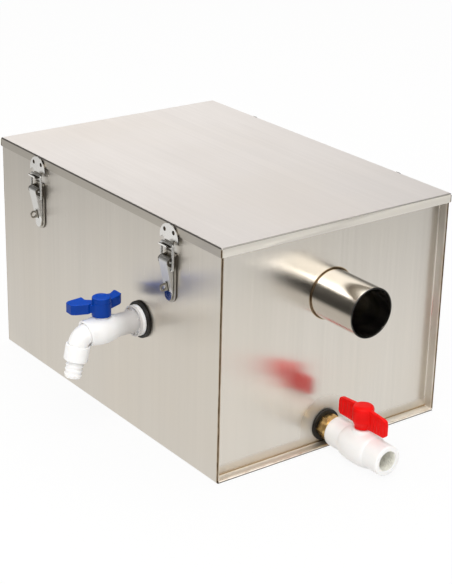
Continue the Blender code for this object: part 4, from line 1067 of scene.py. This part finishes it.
def make_hose_union():
    foot = -25.8 * MM
    top = -9.6 * MM
    inside = -21.6 * MM
    radius = 12.1 * MM
    bore = 8.5 * MM
    edge = 0.9 * MM
    profile = rounded_profile([(10.4 * MM, top), (radius - 0.2 * MM, top), (radius, top - edge * 2),
                               (radius - 0.3 * MM, foot + edge), (radius - 1.4 * MM, foot), (bore, foot),
                               (bore, inside), (10.4 * MM, inside)], 0.5 * MM)

    def grip(angle):
        return 1 + 0.004 * math.cos(24 * angle)

    piece("union_nut", lathe(profile, nose_frame(), 144, grip), WHITE,
          nodes=["hose_union_nut"])
    end = -43 * MM
    wall = 8.2 * MM
    barb = 0.55 * MM
    line = [(wall - barb, -21 * MM), (wall - barb, foot - 2.6 * MM)]
    pitch = (end - foot + 3.5 * MM) / 3
    for i in range(3):
        crest = foot - 3.5 * MM + i * pitch
        line += [(wall + barb, crest + 0.22 * pitch), (wall + barb * 0.7, crest + 0.36 * pitch),
                 (wall - barb, crest + 0.9 * pitch)]
    outline = [tuple(p) for p in smooth_line(line, 4)]
    tip = [(wall - barb - 0.3 * MM, end + 0.2 * MM), (wall - barb - 1 * MM, end), (5.2 * MM, end)]
    profile = [(5.2 * MM, -18 * MM), (10 * MM, -18 * MM), (10 * MM, -21 * MM), *outline, *tip]
    piece("hose_barbs", lathe(profile, nose_frame(), 72), WHITE, nodes=["hose_tail"])


def make_tap_handle():
    base = 15 * MM
    wing_foot = 18.2 * MM
    wing_top = 29 * MM
    shape = lathe([(0, wing_top), (9.5 * MM, wing_top), (9.5 * MM, base), (0, base)], TAP_AXIS, 96)
    arm = [(7.1, 0), (4.5, -8), (-3, -11), (-7, -25.5), (-18, -25.5), (-19.5, -9.5), (-13, -1.5)]
    arm += [(x, -y) for x, y in reversed(arm[1:])]
    arm = [(x * MM, y * MM) for x, y in reversed(arm)]
    arm_top = 26.6 * MM
    shape = join(shape, plate(arm, wing_foot + 0.6 * MM, arm_top, TAP_AXIS))
    near_pad = [(-22, -9), (-20.6, -25), (-18, -28.5), (-9, -28.5), (-6, -25), (-1.8, -13.5), (-2.6, -10)]
    wall_pad = [(-2.6, 10), (-1.8, 13.5), (-6, 25), (-9, 28.5), (-19, 28.5), (-20.5, 27), (-12.5, 16),
                (-12.8, 10)]
    for pad in (near_pad, wall_pad):
        pad = [(x * MM, y * MM) for x, y in pad]
        shape = join(shape, plate(pad, wing_foot, arm_top + 1.6 * MM, TAP_AXIS))
    shape = cut(shape, rod(COLLAR_RADIUS + FIT, base - 5 * MM, COLLAR_TOP + FIT, TAP_AXIS))
    shape = cut(shape, rod(4 * MM, wing_top - 2.4 * MM, wing_top + 5 * MM, TAP_AXIS))
    shape = moulded(shape, 0.36 * MM, 3)
    piece("lever_blue", shape, BLUE, "tap_turner", ["tap_handle"], weighted=False)
    foot = wing_top + FIT
    top = 34.4 * MM
    profile = [(0, top - 0.9 * MM), (4.4 * MM, top - 0.8 * MM), (5.3 * MM, top - 0.1 * MM),
               (8.1 * MM, top),
               (8.9 * MM, top - 0.5 * MM), (9.2 * MM, top - 1.4 * MM), (9.2 * MM, foot), (3.7 * MM, foot),
               (3.7 * MM, foot - 2 * MM), (0, foot - 2 * MM)]
    piece("cap_blue", lathe(profile, TAP_AXIS, 96), BLUE, "tap_turner", ["handle_cap"])


def make_washer(name, node, along):
    """A rubber ring with rolled edges, bulging a little where it is squeezed."""
    low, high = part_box(node)
    middle = (low + high) / 2
    if along == "Y":
        matrix = at(middle.x, 0, middle.z) @ ALONG_MINUS_Y
        start, end, radius = -high.y, -low.y, (high.x - low.x) / 2
    else:
        matrix = at(0, middle.y, middle.z) @ ALONG_X
        start, end, radius = low.x, high.x, (high.y - low.y) / 2 + 0.7 * MM
    edge = radius - 0.2 * MM
    profile = rounded_profile([(edge, end), (radius, (start + end) / 2), (edge, start),
                               (HOLE_RADIUS, start),
                               (HOLE_RADIUS, end)], 0.9 * MM, 4)
    piece(name, lathe(profile, matrix, 96), RUBBER, nodes=[node])


def make_tap():
    make_tap_body()
    make_spout()
    make_hose_union()
    make_tap_handle()
    make_washer("tap_seal", "tap_washer", "Y")


# Drain valve


VALVE = PIVOT["valve_turn"]
VALVE_FLOW = at(0, VALVE.y, VALVE.z) @ ALONG_X
VALVE_AXIS = Matrix.Translation(VALVE)
VALVE_LOW, VALVE_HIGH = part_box("valve_body")
SOCKET_RADIUS = 15.4 * MM
VALVE_BULGE = 18.6 * MM
VALVE_BORE = 10.4 * MM


def make_valve_body():
    start, end = VALVE_LOW.x, VALVE_HIGH.x
    rounding = 1.4 * MM
    line = []
    steps = 16
    half = 17.5 * MM
    for i in range(steps + 1):
        share = math.cos(math.pi * i / steps)
        swell = math.sin(math.pi * i / steps) ** 0.8
        line.append((SOCKET_RADIUS + (VALVE_BULGE - SOCKET_RADIUS) * swell, VALVE.x + half * share))
    corner_end = arc((SOCKET_RADIUS - rounding, end - rounding), rounding, 90, 0, 4)
    corner_start = arc((SOCKET_RADIUS - rounding, start + rounding), rounding, 0, -90, 4)
    profile = [(0, end), *corner_end, *line, *corner_start, (0, start)]
    shape = lathe(profile, VALVE_FLOW, 96)
    neck = lathe([(0, 19.8 * MM), (9.2 * MM, 19.8 * MM), (10 * MM, 19 * MM), (10.4 * MM, 14 * MM),
                  (12.5 * MM, 10 * MM),
                  (0, 10 * MM)], VALVE_AXIS, 64)
    shape = join(shape, neck)
    for turn in (0, math.pi / 2):
        matrix = VALVE_AXIS @ Matrix.Rotation(turn + math.pi / 4, 4, "Z")
        shape = join(shape, box((8 * MM, -1.6 * MM, 14 * MM), (12.4 * MM, 1.6 * MM, 19 * MM), matrix))
    boss = lathe([(0, -12 * MM), (6.3 * MM, -12 * MM), (5.5 * MM, -VALVE_BULGE - 0.7 * MM),
                  (3 * MM, -VALVE_BULGE - 0.7 * MM),
                  (2.6 * MM, -VALVE_BULGE + 0.2 * MM), (0, -VALVE_BULGE + 0.2 * MM)], VALVE_AXIS, 48)
    shape = join(shape, boss)
    shape = cut(shape, rod(10.4 * MM, start - 5 * MM, start + 13 * MM, VALVE_FLOW))
    shape = cut(shape, rod(VALVE_BORE, VALVE.x - 10 * MM, end + 5 * MM, VALVE_FLOW, 64))
    shape = cut(shape, rod(4.2 * MM, 5 * MM, 30 * MM, VALVE_AXIS))
    shape = moulded(shape, 0.45 * MM, 5)
    piece("valve_housing", shape, WHITE, nodes=["valve_body"], weighted=False)
    thread = helix(VALVE_BORE + 0.25 * MM, end - 1.6 * MM, -THREAD_PITCH, 9, 48)
    piece("valve_thread", sweep(thread, 0.75 * MM, VALVE_FLOW, 8), CREAM)


def make_valve_handle():
    foot = 20.4 * MM
    top = 44.5 * MM
    reach = 34 * MM

    def squared(angle):
        """Eight soft flats."""
        return 1 - 0.045 * (1 - abs(math.cos(2 * angle)))

    profile = [(0, top), (6 * MM, top - 0.1 * MM), (8.6 * MM, top - 0.6 * MM),
               (10.2 * MM, top - 1.8 * MM),
               (11.2 * MM, top - 4.2 * MM), (10.8 * MM, foot + 8 * MM), (8.3 * MM, foot + 3 * MM),
               (8.3 * MM, foot), (0, foot)]
    shape = lathe(profile, VALVE_AXIS, 96, squared)
    low = foot + 1.5 * MM
    tip = top - 3.5 * MM
    side = [(0, top - 2 * MM), (-11.2 * MM, top - 2 * MM), (-reach + 4 * MM, tip),
            (-reach + 1.2 * MM, tip - 1.2 * MM),
            (-reach, tip - 5 * MM), (-reach, low + 3 * MM), (-reach + 2.5 * MM, low + 0.6 * MM), (0, low)]
    side += [(-x, z) for x, z in reversed(side[1:-1])]
    upright = VALVE_AXIS @ Matrix.Rotation(math.pi / 2, 4, "X")
    shape = join(shape, plate(side, -2.2 * MM, 2.2 * MM, upright))
    for sign in (-1, 1):
        for k in range(4):
            x = sign * (15 * MM + k * 4.4 * MM)
            shape = join(shape, box((x - 0.8 * MM, -2.75 * MM, low + 2.5 * MM),
                                    (x + 0.8 * MM, 2.75 * MM, tip - 3 * MM),
                                    VALVE_AXIS))
    shape = cut(shape, rod(4 * MM, foot - 2 * MM, foot + 6 * MM, VALVE_AXIS))
    shape = moulded(shape, 0.4 * MM, 10)
    piece("lever_red", shape, RED, "valve_turner", ["valve_handle"], weighted=False)


def make_nipple():
    low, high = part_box("drain_nipple")
    flats = 23.6 * MM
    foot = PANEL_X + 3.6 * MM
    top = foot + 10 * MM
    valve = VALVE_LOW.x - FIT
    profile = [(NIPPLE_BORE, high.x), (THREAD_RADIUS, high.x), (THREAD_RADIUS, valve), (11.4 * MM, valve),
               (12.2 * MM, valve - 0.8 * MM), (12.2 * MM, foot + 1 * MM), (10.3 * MM, foot + 1 * MM),
               (10.3 * MM, low.x), (NIPPLE_BORE, low.x)]
    shape = lathe(profile, VALVE_FLOW, 72)
    corner = flats / math.sqrt(3)
    outline = [(corner * math.cos(math.pi / 6 + math.pi / 3 * i),
                corner * math.sin(math.pi / 6 + math.pi / 3 * i))
               for i in range(6)]
    head = plate(outline, foot, top, VALVE_FLOW)
    cone = lathe([(0, top + 1 * MM), (flats / 2 - 1 * MM, top + 1 * MM),
                  (corner + 1.2 * MM, top - 1.9 * MM),
                  (corner + 1.2 * MM, foot + 0.9 * MM), (flats / 2 - 1 * MM, foot - 1 * MM),
                  (0, foot - 1 * MM)],
                 VALVE_FLOW, 96)
    head = boolean(head, cone, "INTERSECT")
    head = cut(head, rod(NIPPLE_BORE, foot - 1 * MM, top + 1 * MM, VALVE_FLOW, 72))
    shape = join(shape, head)
    piece("brass_nipple", bevelled(shape, 0.25 * MM, 2), BRASS, nodes=["drain_nipple"])
    thread = helix(THREAD_RADIUS, low.x + 1 * MM, THREAD_PITCH / 1.7, 12)
    piece("nipple_thread", sweep(thread, 0.6 * MM, VALVE_FLOW, 6), BRASS)


def make_valve():
    make_nipple()
    make_valve_body()
    make_valve_handle()
    make_washer("drain_seal", "drain_washer", "X")


# Latches, each in a frame at its lever's pin: X along the pin, -Y outward, Z up


SIDEWAYS = Matrix(((0, 0, -1, 0), (-1, 0, 0, 0), (0, 1, 0, 0), (0, 0, 0, 1)))
FRONT_VIEW = Matrix.Rotation(math.pi / 2, 4, "X")
PIN_OUT = 6.1 * MM
LATCH_DROP = LID_HIGH.z - PIVOT["lever_hinge_front_left"].z
SKIRT_OUT = SHEET + FIT
KEEPER_HOLE_X = 7.25 * MM
KEEPER_HOLE_Z = LATCH_DROP - 7.6 * MM
HOOK_INNER = 6.3 * MM
BAR_RISE = 17 * MM
BAIL_WIRE = 1.2 * MM
BAIL_HALF = 9.4 * MM
BAIL_DROP = 8.5 * MM
BAIL_IN = 1.3 * MM
CHEEK = 6.6 * MM
LEVER_SHEET = 1 * MM
LEVER_LENGTH = 41 * MM
KNUCKLE = 4 * MM
EYE_DROP = 26.5 * MM
EYE_RADIUS = 4 * MM


def make_keeper(label, matrix):
    back = SKIRT_OUT - PIN_OUT + FIT
    lip = back + SHEET + HOOK_INNER
    under = BAR_RISE - BAIL_WIRE - FIT - SHEET
    top = LATCH_DROP - 0.6 * MM
    corners = [(-lip - SHEET, BAR_RISE + FIT), (-lip - SHEET, under), (-back, under), (-back, top)]
    path = bent_line(corners, BAIL_WIRE + FIT + SHEET, 8)
    half = 15 * MM
    shape = folded(path, (-half, -half / 2, 0, half / 2, half))
    drop = half * 0.95
    shoulder = BAR_RISE + 5.5 * MM
    neck = 6.5 * MM
    outline = [(x * half / drop, z) for x, z in arc((0, top - drop), drop, -10, 190, 40)]
    outline += smooth_side(-neck, shoulder) + [(-neck, -5 * MM), (neck, -5 * MM)]
    outline += [(-x, z) for x, z in reversed(smooth_side(-neck, shoulder))]
    shape = boolean(shape, plate(outline, -20 * MM, 20 * MM, FRONT_VIEW), "INTERSECT")
    for side in (-1, 1):
        place = at(side * KEEPER_HOLE_X, 0, KEEPER_HOLE_Z)
        shape = cut(shape, rod(2.2 * MM, -15 * MM, 15 * MM, place @ ALONG_MINUS_Y, 24))
    shape.transform(matrix)
    piece("keeper_plate_" + label, shape, KEEPER_STEEL,
          nodes=["latch_keeper_" + label])
    # A dark weld-coloured disc behind each keeper hole: a plug weld whose dark colour also stands in for
    # the shade in the hole.
    place = matrix @ at(0, -back, KEEPER_HOLE_Z) @ ALONG_MINUS_Y
    for side, word in ((-1, "left"), (1, "right")):
        shaded_plug = lathe([(0, 0.45 * MM), (1.2 * MM, 0.4 * MM), (2.1 * MM, 0), (0, 0)],
                     place @ at(side * KEEPER_HOLE_X, 0, 0), 24)
        piece("plug_weld_%s_%s" % (word, label), shaded_plug, WELD)


def smooth_side(neck, shoulder):
    """The flare from the keeper's plate in to its tongue."""
    return [tuple(p) for p in smooth_line([(neck - 4 * MM, shoulder - 0.6 * MM),
                                           (neck - 1.6 * MM, shoulder - 1.6 * MM),
                                           (neck, shoulder - 4.5 * MM)], 4)]


def make_base(label, matrix):
    back = FIT - PIN_OUT
    front = back + SHEET
    half = 10 * MM
    outline = arc((0, -33 * MM), half, 180, 360, 20)
    outline += arc((half - 3 * MM, 5.5 * MM), 3 * MM, 0, 90, 6)
    outline += arc((-half + 3 * MM, 5.5 * MM), 3 * MM, 90, 180, 6)
    shape = plate(outline, back, front, FRONT_VIEW, edge=0.2 * MM)
    inner = CHEEK + FIT
    outer = BAIL_HALF - BAIL_WIRE - FIT
    ear = [(front - 0.5 * MM, -7 * MM), *arc((0, 0), KNUCKLE, -65, 65, 12), (front - 0.5 * MM, 5 * MM)]
    for low, high in ((inner, outer), (-outer, -inner)):
        shape = join(shape, plate(ear, low, high, SIDEWAYS))
    shape = cut(shape, rod(1.6 * MM, -12 * MM, 12 * MM, ALONG_X, 24))
    out = 2.6 * MM
    drop = -EYE_DROP
    tab = [(front - 0.5 * MM, drop - EYE_RADIUS), *arc((out, drop), EYE_RADIUS, -90, 90, 20),
           (front - 0.5 * MM, drop + EYE_RADIUS)]
    hole = arc((out, drop), 2.3 * MM, 0, 345, 23)
    shape = join(shape, plate(tab, -0.8 * MM, 0.8 * MM, SIDEWAYS, holes=[hole], edge=0.35 * MM))
    shape.transform(matrix)
    piece("base_plate_" + label, shape, BASE_STEEL, nodes=["latch_base_" + label])


def make_lever(label, matrix):
    wall = PIN_OUT - FIT - SHEET - 0.5 * MM
    tip_out = wall - 1.6 * MM
    bend = -LEVER_LENGTH * 0.76
    rear = [(-wall, -LEVER_LENGTH + 0.6 * MM), (-tip_out, -LEVER_LENGTH), (-tip_out - 0.4 * MM, bend)]
    outline = [*rear, *arc((0, 0), KNUCKLE, 8, 180, 20), (-wall, -1 * MM)]
    shape = plate(outline, -CHEEK, CHEEK, SIDEWAYS)
    shape = bevelled(shape, 0.8 * MM, 3, 50)
    wide = CHEEK - LEVER_SHEET
    inner_round = KNUCKLE - LEVER_SHEET
    behind = tip_out + 0.9 * MM
    hollow = [(-wall - 5 * MM, -LEVER_LENGTH - 3 * MM), (-behind, -LEVER_LENGTH - 3 * MM),
              (-behind - 0.4 * MM, bend), *arc((0, 0), inner_round, 8, 150, 12),
              (-wall - 5 * MM, inner_round * 0.5)]
    shape = cut(shape, plate(hollow, -wide, wide, SIDEWAYS))
    bail = at(0, BAIL_IN, -BAIL_DROP)
    shape = cut(shape, rod(1.6 * MM, -14 * MM, 14 * MM, ALONG_X, 24),
                rod(1.5 * MM, -14 * MM, 14 * MM, bail @ ALONG_X, 24))
    slot_foot, slot_top = -EYE_DROP - EYE_RADIUS - 1 * MM, -EYE_DROP + EYE_RADIUS + 1.4 * MM
    shape = cut(shape, box((-1.7 * MM, -15 * MM, slot_foot), (1.7 * MM, 10 * MM, slot_top)))
    round_tip = CHEEK - 1 * MM
    outline = [(CHEEK + 1 * MM, 10 * MM), (-CHEEK - 1 * MM, 10 * MM),
               (-CHEEK - 1 * MM, -LEVER_LENGTH * 0.7)]
    outline += arc((0, -LEVER_LENGTH + round_tip), round_tip, 180, 360, 20)
    outline.append((CHEEK + 1 * MM, -LEVER_LENGTH * 0.7))
    shape = boolean(shape, plate(outline, -20 * MM, 20 * MM, FRONT_VIEW), "INTERSECT")
    shape.transform(matrix)
    piece("toggle_" + label, shape, LATCH_STEEL, "lever_" + label,
          ["latch_lever_" + label])


def make_bail(label, matrix):
    end = CHEEK - LEVER_SHEET + 0.1 * MM
    bar_out = -(SKIRT_OUT - PIN_OUT + FIT + SHEET + FIT + 0.2 * MM + BAIL_WIRE)
    corners = [(-end, BAIL_IN, -BAIL_DROP), (-BAIL_HALF, BAIL_IN, -BAIL_DROP),
               (-BAIL_HALF, bar_out, BAR_RISE),
               (BAIL_HALF, bar_out, BAR_RISE), (BAIL_HALF, BAIL_IN, -BAIL_DROP),
               (end, BAIL_IN, -BAIL_DROP)]
    shape = sweep(bent_line(corners, 1.9 * MM, 6), BAIL_WIRE, matrix, 20)
    piece("wire_loop_" + label, shape, LATCH_STEEL, "bail_" + label,
          ["latch_bail_" + label])


def make_pin(label, matrix):
    reach = BAIL_HALF - BAIL_WIRE - FIT
    profile = [(0, reach), (1 * MM, reach - 0.05 * MM), (1.3 * MM, reach - 0.4 * MM),
               (1.3 * MM, -reach + 0.4 * MM),
               (1 * MM, -reach + 0.05 * MM), (0, -reach)]
    shape = lathe(profile, matrix @ ALONG_X, 24)
    piece("hinge_pin_" + label, shape, LATCH_STEEL, nodes=["latch_pin_" + label])


def make_latches():
    for side in ("front", "back"):
        for end in ("left", "right"):
            label = "%s_%s" % (side, end)
            place = Matrix.Translation(PIVOT["lever_hinge_" + label])
            if side == "back":
                place = place @ Matrix.Rotation(math.pi, 4, "Z")
            for make in (make_keeper, make_base, make_lever, make_bail, make_pin):
                make(label, place)


# Solids that stay, with better finishes


def dress_solids():
    finishes = {
        INNER_STEEL: ["inlet_baffle", "outlet_baffle", "basket_rail_front", "basket_rail_back",
                      "strainer_basket",
                      "outlet_dip_pipe", "basket_handle"],
        RUBBER: ["lid_gasket", "tap_inner_washer", "drain_inner_washer"],
        BRASS: ["drain_lock_nut"],
        WHITE: ["tap_lock_nut", "valve_retainer"],
        SEAL: ["tap_ball", "tap_stem", "tap_seat_inner", "tap_seat_outer", "valve_ball", "valve_stem",
               "valve_seat_inner", "valve_seat_outer"],
    }
    for material, nodes in finishes.items():
        for node in nodes:
            item = frame["nodes"][node]
            item.data.materials.clear()
            item.data.materials.append(material)


# Studio


def make_camera():
    az, el, roll = CAMERA_AZIMUTH, CAMERA_ELEVATION, CAMERA_ROLL
    back = Vector((math.sin(az) * math.cos(el), -math.cos(az) * math.cos(el), math.sin(el)))
    level = Vector((math.cos(az), math.sin(az), 0))
    rise = back.cross(level)
    right = math.cos(roll) * level + math.sin(roll) * rise
    up = -math.sin(roll) * level + math.cos(roll) * rise
    data = bpy.data.cameras.new("camera")
    data.sensor_width = SENSOR
    data.sensor_fit = "AUTO"
    data.lens = FOCAL_PIXELS * SENSOR / PICTURE_HEIGHT
    camera = bpy.data.objects.new("camera", data)
    camera.matrix_world = Matrix.Translation(CAMERA_PLACE) @ Matrix((right, up,
                                                                     back)).transposed().to_4x4()
    bpy.context.scene.collection.objects.link(camera)
    bpy.context.scene.camera = camera


def add_lamp(name, direction, size, power):
    """A square lamp that faces the tank."""
    data = bpy.data.lights.new(name, "AREA")
    data.shape = "RECTANGLE"
    data.size = data.size_y = size
    data.energy = power
    lamp = bpy.data.objects.new(name, data)
    direction = Vector(direction).normalized()
    place = Matrix.Translation(direction * LAMP_DISTANCE + Vector((0, 0, 0.12)))
    lamp.matrix_world = place @ direction.to_track_quat("Z", "Y").to_matrix().to_4x4()
    bpy.context.scene.collection.objects.link(lamp)


# Light on surfaces; and what polished metal mirrors: the room, and its cards, each with a direction,
# a width and a soft edge in degrees, and a brightness
LIGHT_LEVEL = (0.80, 0.79, 0.77)
ROOM_LEVEL = (0.19, 0.19, 0.19)
ROOM_CARDS = [
    ((-0.84, 0.5, 0.02), 14, 18, 1.51),
    ((0.76, 0.1, 0.6), 27, 13, 2.0),
    ((0.74, -0.57, 0.22), 18, 10, 0.02),
]


def make_world():
    """White where the camera sees it and level light on every surface. What polished metal reflects
    is a dim room with a few pale walls."""
    world = bpy.data.worlds.new("studio")
    bpy.context.scene.world = world
    world.use_nodes = True
    world.node_tree.nodes.clear()
    sky = Tree(world.node_tree, "Generated")
    room = ROOM_LEVEL
    for direction, width, soft, value in ROOM_CARDS:
        toward = sky.vector("DOT_PRODUCT", Vector(direction).normalized())
        card = sky.ramp(toward, math.cos(math.radians(width + soft)), math.cos(math.radians(width)))
        room = sky.mix(card, room, (value, value * 0.99, value * 0.97))
    light = sky.emit("ShaderNodeBackground", Color=(*LIGHT_LEVEL, 1))
    mirrored = sky.emit("ShaderNodeBackground", Color=room)
    white = sky.emit("ShaderNodeBackground", Color=(1, 1, 1, 1))
    lit = sky.blend(sky.ray("Is Glossy Ray"), light, mirrored)
    output = sky.add("ShaderNodeOutputWorld")
    sky.feed(output.inputs["Surface"], sky.blend(sky.ray("Is Camera Ray"), lit, white))


def make_floor():
    """White paper: bright beside the tank, dimmer further out and dark on the camera's side."""
    data = bpy.data.meshes.new("floor")
    reach = 6
    data.from_pydata([(-reach, -reach, 0), (reach, -reach, 0), (reach, reach, 0), (-reach, reach, 0)], [],
                     [(0, 1, 2, 3)])
    floor = bpy.data.objects.new("floor", data)
    floor.location.z = -0.4 * MM
    bpy.context.scene.collection.objects.link(floor)
    material = bpy.data.materials.new("studio_floor")
    material.use_nodes = True
    material.node_tree.nodes.clear()
    paper = Tree(material.node_tree, "Object")
    outward = paper.ramp(paper.vector("LENGTH"), 0.3, 1.1, 0.9, 0.62)
    forward = paper.ramp(paper.vector("DOT_PRODUCT", (0.77, -0.64, 0)), 0.45, 1.0, 1, 0.08)
    mirrored = paper.emit("ShaderNodeEmission", Color=(1, 0.995, 0.985, 1),
                          Strength=paper.times(outward, forward))
    matt = paper.emit("ShaderNodeBsdfDiffuse", Color=(0.82, 0.82, 0.82, 1))
    white = paper.emit("ShaderNodeEmission", Color=(1, 1, 1, 1))
    seen = paper.blend(paper.times(paper.ray("Is Camera Ray"), 0.92), matt, white)
    output = paper.add("ShaderNodeOutputMaterial")
    paper.feed(output.inputs["Surface"], paper.blend(paper.ray("Is Glossy Ray"), seen, mirrored))
    data.materials.append(material)


def make_studio():
    bpy.context.scene.view_settings.view_transform = "Standard"
    make_camera()
    make_world()
    make_floor()
    add_lamp("key", (0.6, -0.5, 0.8), 0.9, 14)
    add_lamp("top", (-0.3, 0.2, 1), 1.4, 12)


make_studio()
make_tank()
make_tap()
make_valve()
make_latches()
dress_solids()
